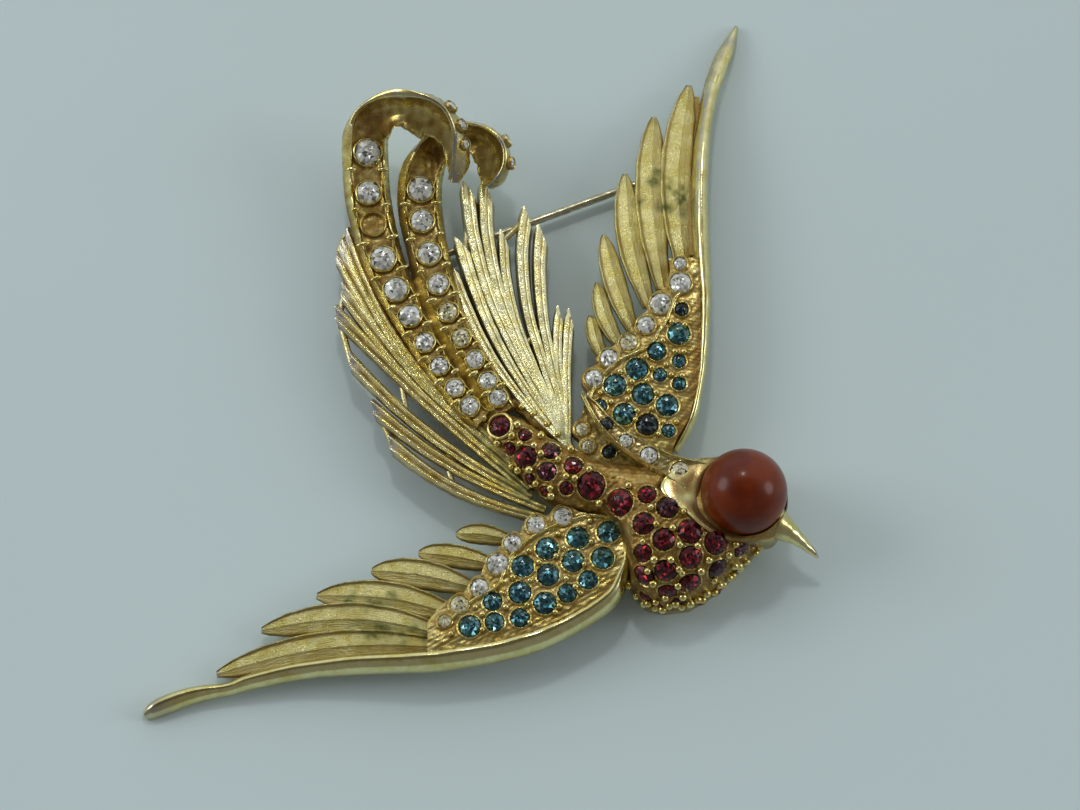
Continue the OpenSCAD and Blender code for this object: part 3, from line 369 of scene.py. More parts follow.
def cut_stone(store, seat, up, d, palette, pick):
    """A round brilliant: table split into facets with painted inner reflections, star, kite and girdle facets, and a
    pavilion.
    """
    r, top = d / 2, CROWN_SHARE * d
    start = pick.uniform(0, math.pi / 4)

    def ring(count, radius, z, shift=0.0):
        a = start + (np.arange(count) + shift) * 2 * math.pi / count
        return np.stack([radius * np.cos(a), radius * np.sin(a), np.full(count, z)], -1)

    local = np.concatenate([
        ring(8, TABLE_SHARE * r, top), ring(8, 0.80 * r, 0.52 * top, 0.5), ring(16, r, 0.0),
        ring(8, 0.30 * r, top + 0.018 * d, 0.5), [[0, 0, top + 0.022 * d]], [[0, 0, -PAVILION_SHARE * d]]])
    table, mid, girdle, inner, hub, culet = 0, 8, 16, 32, 40, 41
    faces = []
    for k in range(8):
        n = (k + 1) % 8
        faces += [(inner + k, inner + n, hub), (table + k, table + n, inner + k),
                  (inner + k, table + n, inner + n), (table + k, mid + k, table + n),
                  (table + k, girdle + 2 * k, mid + k), (table + k, mid + (k - 1) % 8, girdle + 2 * k),
                  (mid + k, girdle + 2 * k, girdle + 2 * k + 1),
                  (mid + k, girdle + 2 * k + 1, girdle + (2 * k + 2) % 16)]
    faces += [(girdle + k, culet, girdle + (k + 1) % 16) for k in range(16)]
    up = unit(np.asarray(up, float))
    first = unit(np.cross(up, [0.21, 0.9, 0.3]))
    basis = np.stack([first, np.cross(up, first), up])
    points = local @ basis + seat
    colours = np.asarray(PALETTES[palette])
    for face in faces:
        corner = points[list(face)]
        normal = unit(np.cross(corner[1] - corner[0], corner[2] - corner[0]))
        middle = corner.mean(0) - seat
        if normal @ middle < 0:
            face, normal = face[::-1], -normal
        spread = 0.55 if max(face) >= inner and min(face) > 0 or local[list(face), 2].min() > 0.9 * top else 0.22
        # painted glint: each facet takes a random level between the dark and bright colours
        level = pick.choice([0, 0.5, 1, 1.5, 2, 2.4, 3], p=GLITTER["bright" if palette in BRIGHT else "dark"])
        low, share = int(level), level - int(level)
        painted_glint = colours[low] * (1 - share) + colours[min(low + 1, 3)] * share
        store["faces"].append(tuple(i + store["count"] for i in face))
        store["painted_glint"].append(painted_glint)
        store["inner"].append(unit(normal + pick.normal(size=3) * spread))
    store["points"].append(points)
    store["count"] += len(points)


def stones(name, seats, palettes, slot, nodes):
    """One mesh for a field of stones. Seats are (place, outward direction, diameter)."""
    store = {"points": [], "faces": [], "painted_glint": [], "inner": [], "count": 0}
    pick = np.random.default_rng(len(name) * 13 + len(seats))
    for (place, up, d), palette in zip(seats, palettes):
        cut_stone(store, place, up, d, palette, pick)
    mesh = bpy.data.meshes.new(name)
    mesh.from_pydata((np.concatenate(store["points"]) * MM).tolist(), [], store["faces"])
    for label in ("painted_glint", "inner"):
        layer = mesh.attributes.new(label, "FLOAT_VECTOR", "FACE")
        layer.data.foreach_set("vector", np.asarray(store[label], np.float32).ravel())
    mesh.materials.append(CLEAR if slot == "clear_glass" else GLASS)
    obj = bpy.data.objects.new(name, mesh)
    bpy.context.scene.collection.objects.link(obj)
    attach(obj, "brooch")
    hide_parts(*nodes)
    return obj


STONE_L, STONE_M, STONE_S, PLUME_STONE, STONE_GAP = 2.15, 1.8, 1.3, 2.7, 0.15


def eased(seats):
    """Diameters that give way where two neighbours would touch, as in the solids."""
    made = []
    for i, (place, up, d) in enumerate(seats):
        room = [(np.linalg.norm(place - p) - STONE_GAP) * 2 * d / (d + e)
                for j, (p, _, e) in enumerate(seats) if j != i]
        made.append((place, up, min([d] + room)))
    return made


# ---------------------------------------------------------------- stone fields

def relief(points, normals, seats, beads=(), wires=(), grit=0.015, seed=1, base_shade=0.35):
    """Raises lips, beads and wires on a face and sinks the stones' pits in it. Gives points and painted shade: dark in
    the pits, in rings round seats and beads and on low ground, less on raised parts.
    """
    height = np.full(points.shape[:-1], 0.0)
    lip = np.zeros(points.shape[:-1])
    pit = np.zeros(points.shape[:-1])
    shade_ring = np.zeros(points.shape[:-1])
    for place, up, d in seats:
        offset = points - place
        along = offset @ up
        radius = np.linalg.norm(offset - along[..., None] * up, axis=-1)
        r = d / 2 + 0.04
        near = (np.linalg.norm(offset, axis=-1) < 1.3 * d) & (np.abs(along) < 0.6 * d)
        lip = np.maximum(lip, np.where(near, 0.13 * np.exp(-((radius - r - 0.09) / 0.08) ** 2), 0))
        shade_ring = np.maximum(shade_ring, np.where(near, 0.55 * np.exp(-((radius - r - 0.28) / 0.16) ** 2), 0))
        pit = np.maximum(pit, np.where(near, smoothstep(r - radius, 0.0, 0.5 * r) * 0.42 * d, 0))
        pit = np.where(near & (radius < r), np.maximum(pit, 0.12), pit)
    for place, radius in beads:
        gap = np.linalg.norm((points - place)[..., :2], axis=-1)
        height = np.maximum(height, 0.10 * np.exp(-(gap / (0.9 * radius)) ** 2))
        shade_ring = np.maximum(shade_ring, 0.7 * np.exp(-((gap - 1.25 * radius) / 0.12) ** 2))
    for line, wide, tall in wires:
        a, b = line[:-1], line[1:]
        gap = np.full(points.shape[:-1], 9.0)
        for p, q in zip(a, b):
            along = np.clip(((points[..., :2] - p) @ (q - p)) / max((q - p) @ (q - p), 1e-9), 0, 1)
            gap = np.minimum(gap, np.linalg.norm(points[..., :2] - p - along[..., None] * (q - p), axis=-1))
        height = np.maximum(height, tall * np.sqrt(np.clip(1 - (gap / wide) ** 2, 0, 1)))
    rough = grit * wobble(points, 0.55, seed) + 1.4 * grit * wobble(points, 1.6, seed + 9)
    raised = np.maximum(height, lip)
    # painted shade: a base level and dark rings, less on raised parts, full in the pits
    painted_shade = np.clip(base_shade + shade_ring - raised / 0.14 - 0.12 * wobble(points, 0.9, seed + 5), 0, 1)
    painted_shade = np.where(pit > 0, 1.0, painted_shade)
    moved = points + normals * (np.where(pit > 0, -pit, raised + rough))[..., None]
    return moved, painted_shade


def grid_normals(points):
    along = np.gradient(points, axis=0)
    across = np.gradient(points, axis=1)
    normals = unit(np.cross(along, across))
    return normals if normals[..., 2].mean() > 0 else -normals


def collet(piece, seat, up, d, low=-1.35, wall=0.24, seed=0, dark=0.55):
    """The gold tube round a stone at a field's edge."""
    r = d / 2
    profile = [(r - 0.3, low), (r + wall - 0.05, low), (r + wall, -0.4), (r + wall, -0.02), (r + wall - 0.05, 0.12),
               (r + 0.5 * wall, 0.17), (r + 0.03, 0.08), (r + 0.02, -0.05), (r - 0.12, -0.35), (r - 0.3, -0.8)]
    points, faces = turned(profile, seat, up, 30, ripple=0.03, seed=seed)
    level = (points - seat) @ up
    # painted shade: darker down the tube, none on its rim
    piece.add(points, faces, tone=tones(np.clip(dark - level * 3.0, 0, 0.6)))


# ---------------------------------------------------------------- body

BODY_AT, BODY_LEN, BODY_W, BODY_H, RUMP_LIFT = (0.3, -5.6), 28.8, 20.0, 8.4, 2.9
BODY_ROWS = [
    [0.000, 0.040, 0.115, 0.60, 0.50, 0.50, 1.0], [0.045, 0.010, 0.210, 0.70, 0.50, 0.48, 1.0],
    [0.130, 0.055, 0.380, 0.74, 0.50, 0.48, 1.0], [0.220, 0.147, 0.485, 0.77, 0.50, 0.48, 1.0],
    [0.305, 0.210, 0.520, 0.79, 0.52, 0.48, 1.0], [0.390, 0.270, 0.540, 0.83, 0.56, 0.46, 0.9],
    [0.455, 0.290, 0.620, 0.88, 0.62, 0.40, 0.6], [0.500, 0.300, 0.905, 0.93, 0.66, 0.25, 0.2],
    [0.550, 0.310, 0.980, 0.97, 0.70, 0.19, 0.0], [0.615, 0.320, 1.000, 1.00, 0.72, 0.17, 0.0],
    [0.700, 0.340, 0.985, 1.00, 0.74, 0.17, 0.0], [0.790, 0.360, 0.905, 0.96, 0.74, 0.19, 0.0],
    [0.880, 0.380, 0.780, 0.85, 0.70, 0.23, 0.1], [0.950, 0.410, 0.680, 0.72, 0.60, 0.28, 0.3],
    [1.000, 0.460, 0.600, 0.58, 0.50, 0.35, 0.6]]
RUBIES = [
    (0.046, 0.105, STONE_L), (0.132, 0.153, STONE_S), (0.078, 0.222, STONE_S), (0.134, 0.270, STONE_L),
    (0.222, 0.236, STONE_M), (0.208, 0.346, STONE_M), (0.299, 0.318, STONE_M), (0.150, 0.376, STONE_S),
    (0.202, 0.440, STONE_S), (0.275, 0.432, STONE_S), (0.361, 0.424, 1.25 * STONE_L),
    (0.458, 0.521, 1.25 * STONE_L), (0.552, 0.486, STONE_M), (0.622, 0.556, STONE_L),
    (0.540, 0.636, STONE_L), (0.698, 0.679, 1.1 * STONE_L), (0.608, 0.720, STONE_L),
    (0.789, 0.728, 1.1 * STONE_L), (0.536, 0.780, STONE_M), (0.701, 0.806, STONE_L),
    (0.877, 0.735, STONE_M), (0.540, 0.880, STONE_L), (0.615, 0.866, STONE_L), (0.795, 0.840, STONE_L),
    (0.865, 0.800, STONE_S), (0.700, 0.916, STONE_L), (0.622, 0.948, STONE_M), (0.545, 0.956, STONE_S),
    (0.660, 0.976, STONE_S), (0.745, 0.950, STONE_S), (0.793, 0.905, STONE_S), (0.922, 0.690, STONE_S),
    (0.585, 0.984, STONE_S)]
HEAD_AT, CABOCHON_R, CABOCHON_Z = np.array([25.788, -15.0]), 4.3, 7.8
# Columns: direction from the ball's centre in degrees, reach and height of the cup's outer edge
CUP_ROWS = [
    [-80, 4.75, 6.9], [-56, 5.30, 5.4], [-30, 4.60, 4.6], [0, 4.34, 4.6], [90, 4.34, 4.8], [112, 4.45, 5.6],
    [127, 4.95, 6.2], [145, 6.30, 6.7], [160, 7.20, 7.1], [176, 8.60, 7.7], [187, 7.16, 8.0], [202, 6.05, 8.1],
    [218, 5.62, 8.1], [236, 5.22, 8.0], [251, 5.10, 7.6], [268, 4.80, 7.2], [280, 4.75, 6.9]]
BODY_BEADS = [
    (499, 442), (517, 426), (512, 436), (520, 444), (534, 446), (540, 437), (513, 465), (520, 469), (530, 469),
    (541, 454), (558, 460), (537, 482), (551, 487), (566, 476), (575, 478), (589, 470), (570, 451), (552, 494),
    (628, 486), (600, 501), (650, 507), (655, 523), (671, 527), (682, 511), (642, 540), (678, 543), (695, 544),
    (653, 557), (669, 557), (706, 557), (725, 552), (732, 542), (757, 544), (753, 556), (731, 563), (647, 568),
    (677, 566), (680, 570), (698, 568), (711, 577), (727, 575), (652, 580), (676, 582), (704, 590), (681, 593),
    (629, 584), (655, 598), (674, 600), (680, 603), (630, 601), (644, 606), (655, 607), (721, 586),
    (616, 591), (623, 597), (637, 604), (662, 607), (668, 602), (688, 600), (695, 596), (712, 591), (730, 580),
    (737, 573), (744, 566), (762, 550), (768, 544), (648, 600), (664, 594), (736, 563), (717, 582), (700, 603)]


def body_z(a, v):
    upper, lower = lookup(BODY_ROWS, a, 1), lookup(BODY_ROWS, a, 2)
    s = np.clip((2 * v - upper - lower) / (lower - upper), -1, 1)
    rim = np.where(s < 0, lookup(BODY_ROWS, a, 4), lookup(BODY_ROWS, a, 5))
    return BODY_H * (rim + (lookup(BODY_ROWS, a, 3) - rim) * np.sqrt(1 - np.abs(s) ** 2.4))


def body_point(a, v):
    a, v = np.broadcast_arrays(np.asarray(a, float), np.asarray(v, float))
    return np.stack([BODY_AT[0] + a * BODY_LEN, BODY_AT[1] - v * BODY_W, body_z(a, v)], -1)


def body_normal(a, v, e=0.02):
    along = body_point(a + e, v) - body_point(a - e, v)
    down = body_point(a, v + e) - body_point(a, v - e)
    return unit(np.cross(down, along))


def on_body(px, py):
    z = 6.0
    for _ in range(6):
        x, y, _ = seen(px, py, z)
        a = np.clip((x - BODY_AT[0]) / BODY_LEN, 0.0, 1.0)
        v = np.clip((BODY_AT[1] - y) / BODY_W, lookup(BODY_ROWS, a, 1) + 0.004, lookup(BODY_ROWS, a, 2) - 0.004)
        z = 0.5 * z + 0.5 * float(body_z(a, v))
    return body_point(a, v), body_normal(a, v)


ruby_seats = eased([(body_point(a, v), body_normal(a, v), d) for a, v, d in RUBIES])


def build_body():
    piece = Piece()
    lengths, widths = 300, 190
    a = np.linspace(0, 1, lengths)[:, None]
    s = np.sin(np.linspace(-math.pi / 2, math.pi / 2, widths))[None]
    upper, lower = lookup(BODY_ROWS, a, 1), lookup(BODY_ROWS, a, 2)
    face = body_point(a + 0 * s, (upper + lower) / 2 + s * (lower - upper) / 2)
    normals = grid_normals(face)
    spots = [on_body(*spot) for spot in BODY_BEADS]
    # painted shade: a high base level darkens the skin between the rubies and beads
    moved, painted_shade = relief(face, normals, ruby_seats, [(p, 0.36) for p, _ in spots], grit=0.03, seed=3, base_shade=0.85)
    moved[:, [0, -1]] = face[:, [0, -1]]
    moved[[0, -1]] = face[[0, -1]]
    offset = moved[..., :2] - HEAD_AT
    turn = (np.degrees(np.arctan2(offset[..., 1], offset[..., 0])) + 80) % 360 - 80
    inside = smoothstep(lookup(CUP_ROWS, turn) - np.linalg.norm(offset, axis=-1), -0.35, 0.25)
    sunk = np.minimum(moved[..., 2], lookup(CUP_ROWS, turn, 2) - 0.5)
    moved[..., 2] += inside * (sunk - moved[..., 2])
    under = np.maximum(lookup(BODY_ROWS, a[:, 0], 6) * RUMP_LIFT, 0.02)
    wall = [np.stack([moved[:, k, 0], moved[:, k, 1], under + share * (moved[:, k, 2] - under)], -1)
            for k, share in ((-1, 0.6), (-1, 0.25), (-1, 0.0), (0, 0.0), (0, 0.25), (0, 0.6))]
    rings = np.concatenate([moved, np.stack(wall, 1)], 1)
    # painted shade on the side walls
    painted_shade = np.concatenate([painted_shade, np.full((lengths, 6), 0.5)], 1)
    piece.add(*shell(rings), tone=capped(tones(painted_shade)))
    for place, up in spots:
        bead(piece, place + 0.24 * up, up, rng.uniform(0.37, 0.47))
    collet(piece, *ruby_seats[0], low=-0.9, wall=0.34, seed=9)
    t, loop = np.linspace(0, 1, 40)[:, None], np.linspace(0, 2 * math.pi, 12, endpoint=False)[None]
    # filler strips in the gaps at the tail's root, coloured with painted shade
    for line in ([(512, 402, 3.7, 0.7), (524, 410, 3.8, 1.5), (539, 420, 3.9, 1.7), (554, 431, 4.1, 1.5), (566, 440, 4.2, 0.7)],
                 [(468, 402, 3.9, 0.8), (480, 413, 4.1, 2.0), (491, 428, 4.3, 2.2), (502, 444, 4.5, 2.0), (514, 460, 4.6, 0.9)]):
        rows = [np.append(seen(px, py, z), [w, 1.1]) for px, py, z, w in line]
        rings = ribbon(rows, t + 0 * loop, 0.5 * np.cos(loop) + 0 * t, 0.5 * np.sin(loop) + 0 * t)
        rings = rings + 0.09 * wobble(rings, 0.9, 17)[..., None]
        piece.add(*shell(rings), tone=capped(tones(np.clip(0.75 + 0.25 * wobble(rings, 1.5, 18), 0, 1))))
    for px, py, z in ((476, 409, 5.0), (484, 418, 5.0), (490, 427, 5.1), (497, 436, 5.2), (521, 407, 4.4), (533, 414, 4.5),
                      (547, 424, 4.6), (558, 434, 4.8), (470, 402, 4.7), (478, 404, 4.7)):
        bead(piece, seen(px, py, z), (0, 0, 1), rng.uniform(0.32, 0.42))
    return piece.finish("body_paved_skin", CAST, ["body_casting"], sharp=60)


build_body()
ruby_kinds = ["garnet" if k in (4, 5, 13, 20, 23) else "ruby" for k in range(len(RUBIES))]
stones("ruby_brilliants", ruby_seats, ruby_kinds, "ruby_glass", ["rump_and_breast_rubies"])

# ---------------------------------------------------------------- crest, cup, beak and cabochon

CREST_AT, CREST_LEN, CREST_DROP, CREST_W, CREST_TOP = (9.788, -4.3), 12.5, 9.6, 6.0, 8.1
CREST_ROWS = [
    [0.00, 0.00, 0.06, 0.74, 0.08], [0.08, 0.14, 0.20, 0.82, 0.14], [0.17, 0.32, 0.27, 0.88, 0.20],
    [0.29, 0.49, 0.33, 0.92, 0.24], [0.42, 0.62, 0.36, 0.94, 0.26], [0.56, 0.73, 0.39, 0.96, 0.36],
    [0.72, 0.84, 0.46, 0.98, 0.50], [0.86, 0.92, 0.58, 0.98, 0.56], [1.00, 1.02, 0.80, 0.95, 0.60]]
crest_path = np.array([[CREST_AT[0] + r[0] * CREST_LEN, CREST_AT[1] - r[1] * CREST_DROP,
                        (r[3] - r[4] / 2) * CREST_TOP, r[2] * CREST_W, r[4] * CREST_TOP] for r in CREST_ROWS])
crest_levels = crest_path + np.array([[0, 0, 0.33, 0, 0]]) * crest_path[:, 4:5]


def crest_seat(share, d):
    row = curve(crest_levels, share)
    return row[:3], np.array([0.0, 0.0, 1.0]), min(d, 0.72 * row[3])


crest_seats = eased([crest_seat(0.28, STONE_S), crest_seat(0.43, STONE_S),
                     crest_seat(0.60, STONE_M), crest_seat(0.80, STONE_M)])


def build_crest():
    """A band with a raised ridge along its lower edge and a wire along the upper one."""
    piece = Piece()
    steps, n = 150, 60
    t = np.linspace(0, 1, steps)[:, None]
    s = np.linspace(-0.5, 0.5, n)[None]
    row = curve(crest_path, t[:, 0])
    wide, tall = row[:, 3:4], row[:, 4:5]
    inward = (s + 0.5) * wide
    ridge = 0.62 * np.exp(-((inward - 0.26) / 0.17) ** 2)
    wire = 0.34 * np.exp(-(((0.5 - s) * wide - 0.2) / 0.15) ** 2)
    level = 0.30 + (ridge + wire) / tall - 0.25 * smoothstep(np.abs(s), 0.485, 0.5)
    top = ribbon(crest_path, t + 0 * s, s + 0 * t, level)
    moved, painted_shade = relief(top, np.broadcast_to([0.0, 0.0, 1.0], top.shape), crest_seats, seed=5)
    # painted shade: cleared on the ridge and the wire, a dark band beside the ridge, and the low side walls
    on_ridge = np.exp(-((inward - 0.26) / 0.16) ** 2)
    groove = np.exp(-((inward - 0.60) / 0.16) ** 2)
    painted_shade = np.clip(painted_shade * (1 - on_ridge) + 0.75 * groove - wire, 0, 1)
    # grey along the ridge top, strongest at the band's start
    wear_and_reflection = on_ridge * (0.15 + 0.85 * smoothstep(-t, -0.16, 0.0))
    low = np.stack([ribbon(crest_path, t[:, 0], np.full(steps, c), np.full(steps, z))
                    for c, z in ((0.5, -0.1), (0.48, -0.5), (-0.48, -0.5), (-0.5, -0.1))], 1)
    rings = np.concatenate([moved, low], 1)
    painted_shade = np.concatenate([painted_shade, np.full((steps, 4), 0.35)], 1)
    wear_and_reflection = np.concatenate([wear_and_reflection, np.zeros((steps, 4))], 1)
    piece.add(*shell(rings), tone=capped(tones(painted_shade, wear_and_reflection)))
    return piece.finish("crest_band", POLISHED, ["body_casting"])


def build_cup():
    """The bowl round the ball: a polished flank that runs out into the neck and the crest."""
    piece = Piece()
    n = 144
    turn = np.linspace(-80, 280, n, endpoint=False)
    reach, high = lookup(CUP_ROWS, turn), lookup(CUP_ROWS, turn, 2)
    lap = np.convolve(np.tile(reach, 3), np.ones(7) / 7, "same")[n:2 * n]
    high = np.convolve(np.tile(high, 3), np.ones(7) / 7, "same")[n:2 * n]
    hidden = smoothstep(-lap, -4.75, -4.40)
    rim_z = 7.25 - 1.9 * hidden
    shares = [(-9, 2.4), (-9, 5.9), (0.0, -0.5), (0.0, 0.0), (0.10, 0.10), (0.3, None), (0.6, None), (0.85, None),
              (1.0, None), (1.05, -0.5), (1.0, -3.0)]
    rings = []
    for share, rise in shares:
        if share < 0:
            r, z = np.full(n, 3.0), np.full(n, rise)
        else:
            r = 4.38 + share * (lap - 4.38)
            z = rim_z + share * (high - rim_z) + 0.25 * math.sin(math.pi * min(share, 1)) * (1 - hidden)
            if rise is not None:
                z = z + rise
        rings.append(np.stack([HEAD_AT[0] + r * np.cos(np.radians(turn)),
                               HEAD_AT[1] + r * np.sin(np.radians(turn)), np.maximum(z, 2.4)], -1))
    rings = np.array(rings)
    rings = curve(rings.reshape(len(rings), -1), np.linspace(0, 1, 45)).reshape(45, n, 3)
    rings = rings + 0.03 * wobble(rings, 2.6, 12)[..., None]
    gap = np.linalg.norm(rings - [HEAD_AT[0], HEAD_AT[1], CABOCHON_Z], axis=-1) - CABOCHON_R
    # painted shade: darker on the side towards the beak, in the bowl and close to the ball
    under = smoothstep(np.cos(np.radians(turn + 55))[None], 0.1, 0.8)
    share = (np.linalg.norm(rings[..., :2] - HEAD_AT, axis=-1) - 4.38) / np.maximum(lap - 4.38, 0.3)
    bowl = 0.85 * (1 - smoothstep(share, 0.74, 0.90)) * (0.8 + 0.25 * wobble(rings, 1.6, 16))
    painted_shade = np.clip(np.maximum(bowl, 0.95 * smoothstep(-gap, -1.2, -0.25)) + under * (0.5 + 0.2 * wobble(rings, 2.0, 15)), 0, 1)
    piece.add(*shell(rings), tone=capped(tones(painted_shade)))
    return piece.finish("head_cup", POLISHED, ["body_casting"])


BEAK_ROWS = [[0.00, 3.7, 3.0], [0.18, 2.85, 2.5], [0.38, 1.90, 1.9], [0.58, 1.28, 1.4], [0.80, 0.86, 0.9],
             [0.94, 0.58, 0.55], [1.00, 0.16, 0.2]]


def build_beak():
    piece = Piece()
    turn, length, root_z, fall = math.radians(-35.5), 5.35, 5.3, 2.3
    way = np.array([math.cos(turn), math.sin(turn), 0])
    side = np.array([-way[1], way[0], 0])
    t = np.linspace(0, 1, 70)[:, None]
    a = np.linspace(0, 2 * math.pi, 32, endpoint=False)[None]
    wide, tall = lookup(BEAK_ROWS, t), lookup(BEAK_ROWS, t, 2)
    start = np.array([HEAD_AT[0], HEAD_AT[1], 0]) + 3.95 * way
    bend = -0.35 * np.exp(-(t / 0.28) ** 2) - 0.12 * t ** 3
    across = 0.5 * wide * np.sign(np.cos(a)) * np.abs(np.cos(a)) ** 0.9 + bend
    height = 0.5 * tall * np.sin(a) * (1 - 0.35 * np.cos(a) ** 2)
    rings = (start + way * (length * t)[..., None] + side * across[..., None]
             + np.array([0, 0, 1.0]) * (root_z - fall * t ** 1.5 + height)[..., None])
    rings = rings + 0.02 * wobble(rings, 1.4, 14)[..., None]
    wear_and_reflection = 0.9 * smoothstep(t, 0.72, 1.0) * (np.cos(a) > -0.2)
    # painted shade: darker near the root at the cup and on one side
    piece.add(*shell(rings), tone=capped(tones(0.85 * smoothstep(-t, -0.42, -0.05) * (0.55 - 0.45 * np.cos(a)), wear_and_reflection)))
    return piece.finish("beak_cast", POLISHED, ["body_casting"])


def build_cabochon():
    piece = Piece()
    profile = [(CABOCHON_R * math.sin(a), -CABOCHON_R * math.cos(a)) for a in np.linspace(0.01, math.pi - 0.01, 72)]
    piece.add(*turned(profile, (HEAD_AT[0], HEAD_AT[1], CABOCHON_Z), (0, 0, 1), 96))
    return piece.finish("head_carnelian", carnelian_paint(), ["head_cabochon"], sharp=80)


build_crest()
build_cup()
build_beak()
build_cabochon()
stones("crest_brilliants", crest_seats, ["night", "clear", "clear", "yellowed"], "clear_glass", ["crest_stones"])

# ---------------------------------------------------------------- wings

WING_LIFT, RAIL_H, FIELD_T, FIELD_SAG, FEATHER_T, WIDTH_UNIT = 3.2, 2.2, 1.7, 0.5, 1.1, 10.0
FIELD_STEP, FEATHER_STEP = 0.16, 0.08
UPPER = {
    "name": "upper_wing", "at": (20.6, -8.9), "along": (0, 1), "across": (1, 0), "length": 45.3, "breadth": 10.0,
    "rail_w": 1.8, "inner": 1,
    "web": [(700, 92, 1.4, 0.5), (698, 120, 1.9, 1.0), (697, 150, 2.4, 1.2), (696, 185, 3.0, 1.2),
            (696, 220, 3.4, 1.3), (697, 255, 3.7, 1.3)],
    "patches": [(657, 178, 0.9), (680, 196, 1.4), (685, 206, 1.1), (672, 188, 0.9), (668, 208, 0.8), (640, 200, 0.7)],
    "lift": [[-0.10, 1.00], [0.30, 0.97], [0.50, 0.88], [0.65, 0.76], [0.75, 0.56], [0.87, 0.27], [1.00, 0.00]],
    "rail": [[-0.02, -0.16, 0.40, 0.75], [0.05, 0.00, 0.65, 0.90], [0.11, 0.07, 0.60, 1.00],
             [0.17, 0.11, 0.65, 1.00], [0.24, 0.13, 0.75, 1.00], [0.33, 0.14, 0.85, 1.00],
             [0.45, 0.12, 1.00, 1.00], [0.57, 0.11, 1.00, 0.95], [0.67, 0.13, 0.95, 0.90],
             [0.75, 0.17, 0.85, 0.80], [0.83, 0.235, 0.90, 0.72], [0.90, 0.335, 0.95, 0.65],
             [0.95, 0.425, 0.75, 0.55], [1.00, 0.51, 0.20, 0.35]],
    "field": [[-0.090, -0.90, -0.30], [-0.047, -1.07, -0.22], [0.000, -1.16, -0.14], [0.047, -1.22, -0.02],
              [0.095, -1.20, 0.04], [0.142, -1.10, 0.08], [0.189, -0.95, 0.10], [0.225, -0.72, 0.11],
              [0.265, -0.55, 0.11], [0.317, -0.43, 0.11], [0.369, -0.26, 0.11], [0.421, -0.22, 0.10]],
    "feathers": [[0.851, 0.020, 0.385, -0.03, 0.28, 0.055], [0.771, -0.340, 0.355, -0.26, 0.26, 0.045],
                 [0.631, -0.640, 0.315, -0.40, 0.23, 0.050], [0.485, -0.860, 0.255, -0.56, 0.20, 0.030],
                 [0.374, -0.930, 0.215, -0.68, 0.16, 0.060], [0.296, -1.000, 0.190, -0.86, 0.14, 0.030]],
    "blues": [(0.300, -0.080, STONE_S), (0.243, -0.110, STONE_L), (0.203, -0.330, STONE_M),
              (0.180, -0.110, STONE_S), (0.163, -0.530, STONE_L), (0.148, -0.300, STONE_S),
              (0.128, -0.110, STONE_S), (0.125, -0.750, STONE_L), (0.104, -0.470, STONE_L),
              (0.078, -0.900, STONE_S), (0.078, -0.230, STONE_L), (0.058, -0.660, STONE_L),
              (0.034, -0.430, STONE_L), (0.020, -0.220, STONE_S), (-0.028, -0.810, STONE_S)],
    "blue_kinds": "night teal blue blue blue blue blue teal blue blue blue blue night blue night".split(),
    "crystals": [(0.407, -0.090, STONE_S), (0.362, -0.090, STONE_L), (0.315, -0.290, STONE_L),
                 (0.265, -0.440, STONE_M), (0.225, -0.610, STONE_M), (0.189, -0.810, STONE_M),
                 (0.142, -0.960, STONE_M), (0.026, -1.080, STONE_S), (-0.014, -1.020, STONE_S)],
    "crystal_kinds": "clear clear clear clear yellowed clear clear yellowed yellowed".split(),
    "wire": [(683, 292), (675, 300), (667, 320), (658, 334), (651, 346), (641, 351), (632, 355), (620, 360),
             (612, 367), (603, 376), (596, 386), (591, 397), (594, 406)],
    "beads": [(646, 357), (652, 368), (666, 365), (620, 372), (632, 382), (647, 381), (671, 375), (682, 376),
              (629, 391), (627, 399), (656, 393), (611, 402), (637, 411), (651, 409), (635, 420), (663, 422),
              (676, 422), (658, 434), (600, 393), (675, 352), (684, 352), (663, 341), (672, 322), (685, 325)]}
